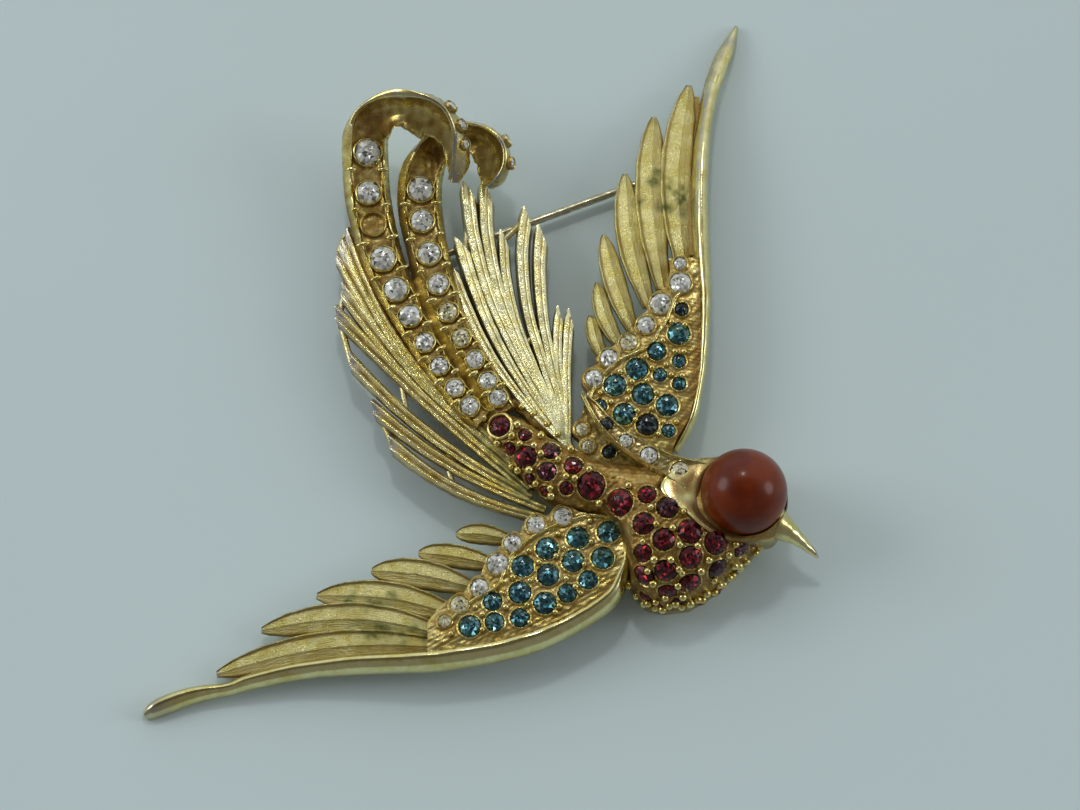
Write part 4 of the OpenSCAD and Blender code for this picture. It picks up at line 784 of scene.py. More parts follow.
LOWER = {
    "name": "lower_wing", "at": (14.412, -16.58), "along": (-1, 0), "across": (0, -1), "length": 48.0, "breadth": 20.0,
    "rail_w": 1.9, "inner": -1, "web": [],
    "patches": [(430, 635, 1.4), (380, 632, 1.6), (362, 628, 1.2), (400, 638, 1.2), (350, 602, 1.0), (375, 606, 1.2),
                (395, 600, 1.0), (415, 628, 1.0)],
    "lift": [[0.00, 1.00], [0.25, 0.95], [0.45, 0.80], [0.60, 0.60], [0.75, 0.36], [0.88, 0.12], [1.00, 0.00]],
    "rail": [[0.120, 0.035, 0.20, 0.75], [0.080, 0.008, 0.27, 0.80], [0.038, 0.022, 0.30, 0.85],
             [0.013, 0.090, 0.35, 0.90], [0.004, 0.200, 0.50, 0.95], [0.012, 0.290, 0.70, 1.00],
             [0.033, 0.400, 0.90, 1.00], [0.075, 0.483, 1.00, 1.00], [0.146, 0.580, 1.05, 1.00],
             [0.215, 0.645, 1.10, 1.00], [0.319, 0.700, 1.10, 1.00], [0.423, 0.730, 1.05, 1.00],
             [0.569, 0.740, 0.95, 0.90], [0.683, 0.765, 0.85, 0.80], [0.785, 0.815, 0.75, 0.75],
             [0.829, 0.845, 0.64, 0.65], [0.894, 0.870, 0.80, 0.75], [0.942, 0.905, 0.90, 0.80],
             [0.980, 0.945, 0.80, 0.75], [1.000, 0.975, 0.40, 0.50]],
    "field": [[0.006, 0.110, 0.260], [0.027, 0.030, 0.340], [0.064, -0.002, 0.450], [0.100, -0.015, 0.510],
              [0.135, -0.055, 0.560], [0.192, -0.015, 0.620], [0.240, 0.078, 0.650], [0.267, 0.160, 0.665],
              [0.288, 0.220, 0.675], [0.319, 0.310, 0.690], [0.356, 0.395, 0.710], [0.392, 0.468, 0.720],
              [0.415, 0.540, 0.730]],
    "feathers": [[0.852, 0.765, 0.380, 0.660, 0.27, 0.060], [0.760, 0.548, 0.370, 0.605, 0.27, 0.080],
                 [0.646, 0.380, 0.350, 0.503, 0.27, 0.060], [0.533, 0.257, 0.325, 0.355, 0.25, 0.045],
                 [0.435, 0.170, 0.280, 0.240, 0.20, 0.030], [0.358, 0.076, 0.245, 0.115, 0.17, 0.050]],
    "blues": [(0.042, 0.090, STONE_L), (0.105, 0.120, STONE_L), (0.169, 0.175, STONE_L),
              (0.054, 0.225, STONE_L), (0.219, 0.265, STONE_L), (0.115, 0.240, STONE_L),
              (0.167, 0.310, STONE_L), (0.084, 0.338, STONE_M), (0.225, 0.400, STONE_L),
              (0.127, 0.405, STONE_M), (0.173, 0.455, STONE_L), (0.281, 0.445, STONE_M),
              (0.225, 0.530, STONE_M), (0.277, 0.550, STONE_M), (0.328, 0.570, STONE_L)],
    "blue_kinds": "teal teal teal teal blue teal blue blue blue blue blue blue blue teal teal".split(),
    "crystals": [(0.137, 0.008, STONE_M), (0.192, 0.050, STONE_M), (0.240, 0.145, STONE_M),
                 (0.271, 0.250, STONE_L), (0.308, 0.370, STONE_M), (0.350, 0.455, STONE_M),
                 (0.380, 0.540, STONE_S)],
    "crystal_kinds": "clear clear clear clear clear yellowed yellowed".split(),
    "wire": [(624, 538), (620, 527), (610, 518), (597, 515), (583, 516), (567, 521), (550, 527), (537, 534),
             (523, 544), (513, 553), (507, 565), (503, 575), (498, 585), (490, 590), (478, 596), (472, 600),
             (463, 607), (455, 615), (450, 619)],
    "beads": [(590, 520), (558, 533), (591, 541), (564, 547), (529, 550), (556, 555), (539, 561), (584, 563),
              (513, 576), (530, 579), (566, 577), (575, 585), (580, 591), (502, 591), (506, 605), (476, 605),
              (483, 612), (559, 604), (555, 610), (527, 603), (530, 620), (483, 627), (452, 631)]}
FEATHER_ROWS = [[0.00, 0.60, 0.90], [0.14, 0.84, 1.00], [0.30, 1.08, 1.00], [0.50, 1.19, 0.97],
                [0.70, 1.13, 0.90], [0.85, 0.90, 0.82], [0.94, 0.58, 0.70], [1.00, 0.22, 0.50]]
FEATHER_TOP = [[-0.5, -0.1], [-0.49, 0.34], [-0.455, 0.50], [-0.41, 0.45], [-0.36, 0.29], [-0.15, 0.36], [0.04, 0.45],
               [0.10, 0.40], [0.25, 0.28], [0.40, 0.19], [0.47, 0.05], [0.5, -0.35]]
RAIL_SECTION = [[-0.5, -0.5], [-0.5, 0.1], [-0.3, 0.45], [0, 0.5], [0.35, 0.2], [0.5, -0.2], [0.5, -0.5]]


def wing_point(wing, u, v, z):
    u, v, z = np.broadcast_arrays(*(np.asarray(x, float) for x in (u, v, z)))
    x = wing["at"][0] + wing["along"][0] * u * wing["length"] + wing["across"][0] * v * wing["breadth"]
    y = wing["at"][1] + wing["along"][1] * u * wing["length"] + wing["across"][1] * v * wing["breadth"]
    return np.stack([x, y, z], -1)


def wing_under(wing, u):
    return WING_LIFT * lookup(wing["lift"], u)


def field_z(wing, u, v):
    near, far = lookup(wing["field"], u, 2), lookup(wing["field"], u, 1)
    w = np.clip((near - v) / (near - far), 0, 1)
    return wing_under(wing, u) + FIELD_T + FIELD_SAG * (1 - w * w) - 0.3 * FIELD_SAG * (1 - w)


def field_point(wing, u, v):
    return wing_point(wing, u, v, field_z(wing, np.asarray(u, float), np.asarray(v, float)))


def field_seat(wing, u, v, d, e=0.01):
    along = field_point(wing, u + e, v) - field_point(wing, u - e, v)
    across = field_point(wing, u, v + e) - field_point(wing, u, v - e)
    up = unit(np.cross(along, across))
    return field_point(wing, u, v), up if up[2] > 0 else -up, d


def on_field(wing, px, py):
    z = 5.0
    for _ in range(5):
        x, y, _ = seen(px, py, z)
        offset = np.array([x, y]) - wing["at"]
        u, v = offset @ wing["along"] / wing["length"], offset @ wing["across"] / wing["breadth"]
        z = float(field_z(wing, u, v))
    return np.array([x, y, z])


def build_field(wing):
    piece = Piece()
    blues = eased([field_seat(wing, *s) for s in wing["blues"]])
    crystals = eased([field_seat(wing, *s) for s in wing["crystals"]])
    rows = curve(wing["field"], np.linspace(0, 1, 240))
    u, far, near = rows[:, 0:1], rows[:, 1:2], rows[:, 2:3]
    s = np.linspace(0, 1, 150)[None]
    edge = near[:, 0] - 0.30
    for k, (seat_u, seat_v, d) in enumerate(wing["crystals"]):
        chord = (d / 2 + 0.40) ** 2 - ((u[:, 0] - seat_u) * wing["length"]) ** 2
        edge = np.minimum(edge, np.where(chord > 0, seat_v - np.sqrt(np.maximum(chord, 0)) / wing["breadth"], 9))
        if k:
            last_u, last_v, _ = wing["crystals"][k - 1]
            share = (u[:, 0] - last_u) / (seat_u - last_u)
            between = (share >= 0) & (share <= 1)
            edge = np.minimum(edge, np.where(between, last_v + share * (seat_v - last_v) - 0.35 / wing["breadth"], 9))
    edge = np.convolve(np.pad(edge, 2, "edge"), np.ones(5) / 5, "valid")
    root = smoothstep(-u[:, 0], -min(s[0] for s in wing["crystals"]) - 0.005, -min(s[0] for s in wing["crystals"]) + 0.02)
    edge = np.maximum(far[:, 0], edge) * (1 - root) + far[:, 0] * root
    far = np.minimum(edge, near[:, 0] - 0.25 / wing["breadth"])[:, None]
    v = far + (near - far) * s
    face = field_point(wing, u + 0 * v, v)
    spots = [on_field(wing, *spot) for spot in wing["beads"]]
    wire = np.array([on_field(wing, *spot)[:2] for spot in wing["wire"]])
    wire = curve(wire, np.linspace(0, 1, 60))
    moved, painted_shade = relief(face, grid_normals(face), blues + crystals, [(p, 0.28) for p in spots],
                           [(wire, 0.22, 0.36)], seed=len(wing["wire"]))
    # painted shade along the edge next to the rail and on the side walls
    painted_shade = np.clip(painted_shade + 0.55 * smoothstep(s, 0.90, 0.97), 0, 1)
    low = wing_under(wing, u[:, 0]) + FIELD_STEP
    wall = [np.stack([moved[:, k, 0], moved[:, k, 1], low + share * (face[:, k, 2] - low)], -1)
            for k, share in ((-1, 0.5), (-1, 0.0), (0, 0.0), (0, 0.5))]
    rings = np.concatenate([moved, np.stack(wall, 1)], 1)
    painted_shade = np.concatenate([painted_shade, np.full((len(rows), 4), 0.55)], 1)
    green = 0.25 * smoothstep(-wobble(rings, 6.0, 21), 0.3, 1.2)
    piece.add(*shell(rings), tone=capped(tones(painted_shade, 0, green)))
    for k, (place, up, d) in enumerate(crystals):
        collet(piece, place, up, d, seed=k)
    for place in spots:
        bead(piece, place + [0, 0, 0.18], (0, 0, 1), rng.uniform(0.29, 0.36))
    piece.finish(wing["name"] + "_pave_field", CAST, [wing["name"]], sharp=60)
    stones(wing["name"] + "_blue_brilliants", blues, wing["blue_kinds"], "blue_glass",
           [wing["name"] + "_blue_stones"])
    stones(wing["name"] + "_clear_brilliants", crystals, wing["crystal_kinds"], "clear_glass",
           [wing["name"] + "_crystals"])


def build_rail(wing):
    piece = Piece()
    path = np.array([np.append(wing_point(wing, r[0], r[1], wing_under(wing, r[0]) + r[3] * RAIL_H / 2),
                               [r[2] * wing["rail_w"], r[3] * RAIL_H]) for r in wing["rail"]])
    loop = curve(RAIL_SECTION, np.linspace(0, 1, 30))
    loop[:, 1] = np.maximum(loop[:, 1], -0.5)
    t = np.linspace(0, 1, 260)[:, None]
    rings = ribbon(path, t + 0 * loop[:, 0][None], loop[:, 0][None] + 0 * t, loop[:, 1][None] + 0 * t)
    rings = rings + 0.02 * wobble(rings, 3.5, 31)[..., None]
    tip = smoothstep(t, 0.86, 1.0)
    wear_and_reflection = np.clip(0.9 * tip * (0.6 + 0.5 * wobble(rings, 2.0, 33)), 0, 1)
    if wing["inner"] > 0:
        # painted reflection: a grey band along the middle of the upper rail, from halfway to the tip
        painted_reflection_band = np.exp(-((loop[:, 0][None] - 0.12) / 0.16) ** 2) * smoothstep(t, 0.36, 0.62)
        wear_and_reflection = np.clip(wear_and_reflection + painted_reflection_band * (0.65 + 0.35 * wobble(rings, 2.4, 37)), 0, 1)
    # painted shade on the rail's inner flank, where it meets the field
    groove = 0.7 * smoothstep(loop[:, 0][None] * wing["inner"], 0.36, 0.5)
    green = 0.5 * smoothstep(wobble(rings, 9.0, 35), 0.5, 1.4) * (loop[:, 0][None] > 0.2)
    piece.add(*shell(rings), tone=capped(tones(groove + 0 * t, wear_and_reflection, green)))
    return piece.finish(wing["name"] + "_leading_rail", POLISHED, [wing["name"]], sharp=55)


def build_feathers(wing):
    piece = Piece()
    top = curve(FEATHER_TOP, np.linspace(0, 1, 34))
    across = np.concatenate([top[:, 0], [0.48, 0.25, 0.0, -0.25, -0.48]])
    ribs = 0.012 * np.sin(top[:, 0] * 2 * math.pi * 6.0)
    level = np.concatenate([top[:, 1] + ribs, np.full(5, -0.5)])
    for k, (tip_u, tip_v, root_u, root_v, wide, bow) in enumerate(wing["feathers"]):
        tip, root = wing_point(wing, tip_u, tip_v, 0.0), wing_point(wing, root_u, root_v, 0.0)
        reach, way = np.linalg.norm(tip - root), unit(tip - root)
        toward = np.array([*wing["across"], 0.0])
        off = unit(toward - way * (toward @ way))
        spine = []
        for share, w, thick in FEATHER_ROWS:
            p = root + way * share * reach - off * bow * reach * math.sin(math.pi * share)
            u = root_u + share * (tip_u - root_u)
            spine.append([p[0], p[1], wing_under(wing, u) + FEATHER_STEP + FEATHER_T * thick / 2,
                          wide * WIDTH_UNIT * w, FEATHER_T * thick])
        t = np.linspace(0, 1, 90)[:, None]
        row = curve(spine, t[:, 0])[:, None]
        notch = 0.02 * np.sin(40 * t + 3 * k) * (np.abs(across[None]) > 0.4)
        rings = (row[..., :3] + off * ((across[None] * (1 + notch)) * row[..., 3])[..., None]
                 + np.array([0, 0, 1.0]) * (level[None] * row[..., 4])[..., None])
        rings = rings + 0.008 * wobble(rings, 2.2, 41 + k)[..., None]
        lay = np.stack([across[None] * row[..., 3] + 7 * k, t * reach + 0 * across[None],
                        0 * t + 0 * across[None]], -1)
        # painted shade: the right half darker, a dark line inside the raised rim, darker towards the root
        right = 0.30 * smoothstep(across[None], 0.04, 0.12) + 0.70 * smoothstep(across[None], 0.36, 0.5)
        left = 0.75 * np.exp(-((across[None] + 0.36) / 0.035) ** 2)
        painted_shade = np.clip(0.8 * right + left + 0.25 * smoothstep(-t, -0.25, 0.0)
                         + 0.10 * wobble(rings, 3.0, 45), 0, 1)
        # grey at the tips and along the raised rim's outer half
        rim = np.exp(-((across[None] + 0.455) / 0.04) ** 2) * smoothstep(t, 0.50, 0.75)
        wear_and_reflection = np.clip(smoothstep(t, 0.93, 1.0) * 0.8 + 0.8 * rim, 0, 1) + 0 * painted_shade
        green = 0.5 * smoothstep(-t, -0.4, -0.05) * smoothstep(wobble(rings, 5.0, 47), 0.0, 1.0)
        for px, py, radius in wing["patches"]:
            gap = np.linalg.norm((rings - seen(px, py, wing_under(wing, tip_u) + 1.5))[..., :2], axis=-1)
            green = np.maximum(green, 1.1 * smoothstep(-gap + 0.35 * wobble(rings, 2.0, 49), -1.4 * radius, 0))
        piece.add(*shell(rings), tone=capped(tones(painted_shade, wear_and_reflection, green)), lay=capped(lay))
    # a strip along the rail's inner edge under the leaves, coloured with painted shade
    if wing["web"]:
        line = [np.append(seen(px, py, z), [w, 0.7]) for px, py, z, w in wing["web"]]
        t, loop = np.linspace(0, 1, 60)[:, None], np.array([[-0.5, -0.5], [-0.5, 0.5], [0.5, 0.5], [0.5, -0.5]])
        piece.add(*shell(ribbon(line, t + 0 * loop[:, 0][None], loop[:, 0] + 0 * t, loop[:, 1] + 0 * t)),
                  tone=(0.75, 0, 0))
    return piece.finish(wing["name"] + "_feather_leaves", SATIN, [wing["name"]], sharp=50)


for wing in (UPPER, LOWER):
    build_field(wing)
    build_rail(wing)
    build_feathers(wing)

# ---------------------------------------------------------------- tail fans

RIGHT_FAN_AT, RIGHT_FAN_LEN, LEFT_FAN_AT, LEFT_FAN_W, LEFT_FAN_LEN = (8.4, -9.4), 30.0, (5.1, -16.7), 20.7, 30.7
RIB_W, RIB_H, FAN_ROOT_Z, FAN_TIP_Z = 1.7, 1.3, 3.6, 2.5
RIGHT_RIBS = [
    [121.4, 0.78, 3.5, 0.95, 18], [116.2, 0.83, 3.6, 1.00, 13], [109.8, 1.00, 5.2, 1.05, 9],
    [106.3, 0.98, 6.0, 1.05, 6], [105.6, 0.80, 5.4, 0.80, 4], [98.9, 0.86, 6.4, 1.00, 3],
    [96.2, 0.79, 4.2, 1.00, 1], [92.5, 0.50, 4.2, 0.80, 0], [88.5, 0.49, 2.6, 0.80, 0]]
LEFT_RIBS = [
    [0.942, 1.000, 0.217, 0.261, 0.079, 1.05], [0.976, 0.943, 0.169, 0.228, 0.069, 1.10],
    [0.966, 0.808, 0.150, 0.189, 0.040, 1.00], [1.000, 0.723, 0.087, 0.121, 0.015, 1.00],
    [0.932, 0.564, 0.072, 0.085, 0.045, 1.00], [0.821, 0.400, 0.000, 0.040, 0.050, 1.00],
    [0.739, 0.283, 0.020, 0.005, 0.070, 1.05]]
RIGHT_TIES = [(0, 1, 0.30), (1, 2, 0.34), (2, 3, 0.38), (3, 4, 0.42), (4, 5, 0.40), (5, 6, 0.42), (6, 7, 0.46),
              (7, 8, 0.50), (1, 2, 0.80), (4, 5, 0.88)]
LEFT_TIES = [(0, 1, 0.50), (1, 2, 0.50), (2, 3, 0.34), (3, 4, 0.50), (4, 5, 0.34), (5, 6, 0.40), (0, 1, 0.90),
             (1, 2, 0.80), (2, 3, 0.86), (3, 4, 0.86), (5, 6, 0.80)]
RIB_SHARES = (0, 0.2, 0.4, 0.6, 0.8, 0.93, 1)


def right_rib_path(r):
    rows = []
    for t in RIB_SHARES:
        turn = math.radians(r[0] + r[2] * math.sin(math.pi * t) + r[4] * (1 - t) ** 2)
        reach = t * r[1] * RIGHT_FAN_LEN
        rows.append([RIGHT_FAN_AT[0] + reach * math.cos(turn), RIGHT_FAN_AT[1] + reach * math.sin(turn),
                     RIB_H / 2 + FAN_ROOT_Z + (FAN_TIP_Z - FAN_ROOT_Z) * t, r[3] * RIB_W * (0.55 + 0.45 * t), RIB_H])
    return np.array(rows)


def left_rib_path(r):
    tip = np.array([LEFT_FAN_AT[0] - r[0] * LEFT_FAN_W, LEFT_FAN_AT[1] + r[1] * LEFT_FAN_LEN])
    root = np.array([LEFT_FAN_AT[0] - r[2] * LEFT_FAN_W, LEFT_FAN_AT[1] + r[3] * LEFT_FAN_LEN])
    reach, way = np.linalg.norm(tip - root), unit(tip - root)
    rows = []
    for t in RIB_SHARES:
        p = root + way * t * reach - np.array([way[1], -way[0]]) * r[4] * reach * math.sin(math.pi * t)
        rows.append([p[0], p[1], RIB_H / 2 + FAN_ROOT_Z + (FAN_TIP_Z - FAN_ROOT_Z) * t,
                     r[5] * RIB_W * (0.6 + 0.4 * t), RIB_H])
    return np.array(rows)


def build_rib(piece, path, slant, seed, twin):
    """One rib: a blade with a crease, or with two sharp crests, that ends in a point."""
    length = np.linalg.norm(np.diff(path[:, :2], axis=0), axis=1).sum()
    top = np.linspace(-0.5, 0.5, 31)
    across = np.concatenate([top, [0.44, 0.0, -0.44]])
    if twin:
        off = np.abs(np.abs(top - 0.02) - 0.23)
        dome, point, groove_at = 0.5 - 1.5 * off ** 1.15, 0.5 * off / 0.27, 0.02
    else:
        wall = 0.85 * smoothstep(top, 0.32, 0.5) + 0.75 * smoothstep(-top, 0.36, 0.5)
        dome = 0.5 - wall - 0.22 * (0.3 - top) ** 2 - 0.11 * np.exp(-((top + 0.08) / 0.06) ** 2)
        point, groove_at = np.where(top > 0.24, (top - 0.24) * 4.5, (0.24 - top) * 2.8), -0.08
    dome = dome - 0.30 * smoothstep(np.abs(top), 0.44, 0.5)
    level = np.concatenate([dome, np.full(3, -0.5)])
    point = np.concatenate([point, point[[-3, len(top) // 2, 3]]])
    ease = np.linspace(0, 1, 120)[:, None]
    lag = (np.abs(slant) * (0.5 - np.sign(slant) * across) + point)[None] / length
    t = -0.05 + (1.05 - lag) * ease
    level = level[None] * (1 - 0.3 * smoothstep(ease, 0.93, 1.0)) + 0.02 * np.sin(7 * ease + seed)
    spot = np.interp(np.maximum(t, 0), RIB_SHARES, np.linspace(0, 1, len(RIB_SHARES)))
    rings = ribbon(path, spot, across[None] + 0 * t, level + 0 * t)
    out = curve(path, 0.1)[:3] - path[0, :3]
    rings = rings + (np.minimum(t, 0) * 10)[..., None] * out + 0.010 * wobble(rings, 2.4, seed)[..., None]
    lay = np.stack([across[None] * 1.7 + 5 * seed + 0 * t, t * length, 0 * t], -1)
    # painted shade on the side walls and in the groove
    side = smoothstep(np.abs(across[None]), 0.36, 0.46) * 0.85
    groove = (0.9 if twin else 0.6) * np.exp(-((across[None] - groove_at) / (0.09 if twin else 0.05)) ** 2)
    painted_shade = np.clip(side + groove + 0.12 * wobble(rings, 1.7, seed + 3), 0, 1)
    wear_and_reflection = (0.9 if twin else 0.4) * smoothstep(ease, 0.90 if twin else 0.97, 1.0) * (np.abs(across) < 0.45) + 0 * painted_shade
    green = 0.7 * smoothstep(-t, -0.22, -0.02) + 0.25 * smoothstep(wobble(rings, 7.0, seed), 0.6, 1.4)
    piece.add(*shell(rings), tone=capped(tones(painted_shade, wear_and_reflection, green)), lay=capped(lay))


def build_fan(name, paths, ties, slant, node):
    piece = Piece()
    for k, path in enumerate(paths):
        build_rib(piece, path, slant, 60 + k, node == "left_tail_fan")
    for first, second, share in ties:
        ends = np.array([curve(paths[first], share)[:3], curve(paths[second], share)[:3]]) - [0, 0, 0.25]
        way = unit(ends[1] - ends[0])
        reach = np.linalg.norm(ends[1] - ends[0])
        profile = [(0.05, -0.1), (0.33, 0.0), (0.33, reach * 0.5), (0.33, reach), (0.05, reach + 0.1)]
        # painted shade on the ties under the ribs
        piece.add(*turned(profile, ends[0], way, 12), tone=(0.35, 0, 0))
    return piece.finish(name, RIBS_PAINTED_HIGHLIGHT if node == "left_tail_fan" else PALE_RIBS_PAINTED_HIGHLIGHT, [node], sharp=35)


build_fan("right_fan_ribs", [right_rib_path(r) for r in RIGHT_RIBS], RIGHT_TIES, 0.3, "right_tail_fan")
build_fan("left_fan_ribs", [left_rib_path(r) for r in LEFT_RIBS], LEFT_TIES, -1.9, "left_tail_fan")

# ---------------------------------------------------------------- plumes

CHANNEL_W, CHANNEL_H = 4.3, 1.8
LEFT_PLUME = {
    "name": "left_plume", "curl": 0.42, "round": 0.86, "web": 0.0, "at": (0.0, -6.8), "w": 12.0, "l": 32.3, "hook_z": 9.3,
    "rows": [[0.000, 0.000, 0.54, 0.50, 0], [-0.117, 0.038, 0.53, 0.55, 0], [-0.358, 0.163, 0.51, 0.60, 0],
             [-0.600, 0.320, 0.49, 0.72, 0], [-0.833, 0.505, 0.47, 0.88, 0], [-0.967, 0.700, 0.47, 0.97, 4],
             [-1.000, 0.865, 0.51, 1.00, 16], [-0.975, 0.938, 0.64, 1.00, 28], [-0.842, 0.964, 0.80, 1.05, 36],
             [-0.662, 0.963, 0.90, 1.18, 44], [-0.485, 0.955, 0.94, 1.14, 52], [-0.358, 0.930, 0.90, 0.98, 60],
             [-0.265, 0.880, 0.82, 0.68, 66], [-0.245, 0.818, 0.74, 0.48, 70], [-0.258, 0.759, 0.66, 0.16, 72]],
    "stones": [(0.072, 0.68), (0.110, 0.66), (0.146, 0.66), (0.183, 0.70), (0.220, 0.82), (0.254, 0.88),
               (0.292, 0.92), (0.372, 0.86), (0.432, 0.98)],
    "hook": [(0.770, 0.44), (0.825, 0.44), (0.875, 0.36)],
    "empty": [(0.333, 0.84)], "arch": [(0.618, -0.52, 0.046), (0.735, 0.14, 0.04)], "band": 1.3,
    "kinds": "clear clear clear clear clear clear clear clear clear clear clear clear".split()}
RIGHT_PLUME = {
    "name": "right_plume", "curl": 0.36, "round": 0.80, "web": 0.75, "at": (2.1, -6.0), "w": 8.6, "l": 30.3, "hook_z": 6.4,
    "rows": [[0.000, 0.000, 0.76, 0.50, 0], [-0.081, 0.046, 0.75, 0.53, 0], [-0.337, 0.172, 0.72, 0.58, 0],
             [-0.605, 0.304, 0.69, 0.66, 0], [-0.779, 0.442, 0.67, 0.77, 0], [-0.919, 0.581, 0.66, 0.88, 0],
             [-1.000, 0.720, 0.66, 0.95, 4], [-0.977, 0.832, 0.68, 0.93, 16], [-0.837, 0.912, 0.74, 0.82, 28],
             [-0.674, 0.945, 0.80, 0.74, 36], [-0.488, 0.950, 0.88, 0.74, 42], [-0.300, 0.930, 0.96, 0.86, 44],
             [-0.172, 0.893, 0.96, 1.00, 45], [-0.140, 0.852, 0.90, 0.98, 46], [-0.172, 0.812, 0.82, 0.76, 48],
             [-0.215, 0.782, 0.76, 0.34, 50]],
    "stones": [(0.066, 0.64), (0.100, 0.64), (0.136, 0.66), (0.175, 0.68), (0.220, 0.70), (0.267, 0.76),
               (0.318, 0.84), (0.372, 0.84), (0.430, 0.92)],
    "hook": [(0.800, 0.42), (0.862, 0.40)],
    "empty": [], "arch": [(0.70, -0.12, 0.05)], "band": 0.3,
    "kinds": "clear clear clear yellowed yellowed clear clear clear clear clear clear".split()}


def build_plume(plume):
    """A strip of collets between two rims that thins into a curled half pipe at its end."""
    piece = Piece()
    path = np.array([[plume["at"][0] + r[0] * plume["w"], plume["at"][1] + r[1] * plume["l"], r[2] * plume["hook_z"],
                      r[3] * CHANNEL_W, CHANNEL_H, r[4]] for r in plume["rows"]])
    curl = plume["curl"]

    def seats_at(places):
        made = []
        for share, d in places:
            up = axes_along(path, np.array(share), True)[1]
            made.append((curve(path, share)[:3] + up * 0.38 * CHANNEL_H, up, d * PLUME_STONE))
        return made

    def hook_seats(places):
        made = []
        for share, d in places:
            side, up = axes_along(path, np.array(share), True)
            row = curve(path, share)
            lean = math.radians(27)
            out = side * math.cos(lean) - up * math.sin(lean)
            spot = row[:3] + (side * 0.5 * math.cos(lean) * row[3]
                              - up * plume["round"] * math.sin(lean) * CHANNEL_H)
            made.append((spot + 0.10 * out, unit(out), d * PLUME_STONE))
        return made

    faced, hooked, empty = seats_at(plume["stones"]), hook_seats(plume["hook"]), seats_at(plume["empty"])
    seats = eased(faced + hooked)
    last = plume["stones"][-1][0] + 0.03
    steps = 460
    t = np.linspace(0, 1, steps)[:, None]
    top = np.linspace(-0.5, 0.5, 45)[None]
    cup = np.abs(top) / 0.5
    hook = smoothstep(t, last, last + 0.09)
    end = smoothstep(t, 0.93, 1.0)
    centres = np.sort([share for share, _ in plume["stones"] + plume["empty"]])
    tabs = np.zeros((steps, 1))
    for a, b in zip(centres[:-1], centres[1:]):
        tabs[:, 0] += np.exp(-((t[:, 0] - (a + b) / 2) / 0.0065) ** 2)
    rim = smoothstep(cup, 0.80, 0.90) - 0.5 * smoothstep(cup, 0.95, 1.0)
    flat = 0.20 + (0.20 + 0.10 * tabs) * rim + 0.10 * tabs * smoothstep(cup, 0.35, 0.8)
    pipe = -0.25 + (curl + 0.25) * cup ** 2 - 0.10 * smoothstep(cup, 0.90, 1.0)
    level = (flat * (1 - hook) + pipe * hook) * (1 - 0.75 * end)
    foot = np.array([[0.5, 0.0], [0.50, -0.25], [0.49, -0.42], [0.44, -0.5], [0.28, -0.5], [0.1, -0.5], [-0.1, -0.5],
                     [-0.28, -0.5], [-0.44, -0.5], [-0.49, -0.42], [-0.50, -0.25], [-0.5, 0.0]])
    turn = np.linspace(math.radians(4), math.radians(176), len(foot))
    bulge = np.stack([0.5 * np.cos(turn), curl * np.cos(turn) ** 8 - plume["round"] * np.sin(turn)], 1)
    under_x = foot[:, 0][None] * (1 - hook) + bulge[:, 0][None] * hook
    under_y = (foot[:, 1][None] * (1 - hook) + bulge[:, 1][None] * hook) * (1 - 0.6 * end)
    spread = 1 + (0.10 + plume["web"] * (foot[:, 0][None] > 0) * (1 - smoothstep(t, 0.20, 0.34))) * (1 - hook)
    slim = 1 - (0.14 - 0.05 * tabs) * (1 - hook)
    arch = 1 + sum(rise * np.exp(-((t - share) / reach) ** 2) for share, rise, reach in plume["arch"])
    face = ribbon(path, t + 0 * top, top * slim * np.where(top < 0, arch, 1), level, True)
    back = ribbon(path, t + 0 * under_x, under_x * spread * np.where(under_x < 0, arch, 1), under_y, True)
    rings = np.concatenate([face, back], 1)
    rings = rings + 0.02 * wobble(rings, 0.8, 71)[..., None]
    # painted shade: the channel's floor between the rims, its underside, its back before the curl and a dark pocket
    # inside the curl
    dip = (1 - smoothstep(cup, 0.7, 0.85)) * (1 - hook) + hook * (1 - smoothstep(cup, 0.75, 0.92))
    shaded = 1.15 * (1 - smoothstep(t, 0.34, 0.44)) + 0 * foot[:, 0][None]
    inner = np.concatenate([dip + 0 * t, (1 - hook) * (0.7 * np.abs(foot[:, 1][None]) + shaded)], 1)
    pocket = hook * np.exp(-((t - last - 0.07) / 0.035) ** 2)
    painted_shade = np.clip((0.66 - 0.27 * hook + 0.55 * pocket) * inner + 0.12 + 0.2 * wobble(rings, 1.5, 73), 0, 1)
    ridge = np.exp(-((np.arange(rings.shape[1]) - 45) / 2.2) ** 2)[None]
    wear_and_reflection = np.clip(hook * ridge * (0.6 + 0.5 * wobble(rings, 2.2, 77)), 0, 1)
    piece.add(*shell(rings), tone=capped(tones(painted_shade, wear_and_reflection)))
    for k, (place, up, d) in enumerate(seats[:len(faced)] + empty):
        collet(piece, place, up, d, low=-0.55, wall=0.24, seed=80 + k, dark=0.3)
    for place, up, d in seats[len(faced):]:
        collet(piece, place, up, d, low=-0.5, wall=0.16, seed=95)
    for a, b in zip(centres[:-1], centres[1:]):
        mid = np.array((a + b) / 2)
        side, up = axes_along(path, mid, True)
        row = curve(path, mid)
        for sign in (-1, 1):
            spot = row[:3] + side * sign * 0.38 * row[3] + up * 0.46 * CHANNEL_H
            bead(piece, spot + 0.05 * up, side, rng.uniform(0.24, 0.31), tall=rng.uniform(1.7, 2.5), sides=10)
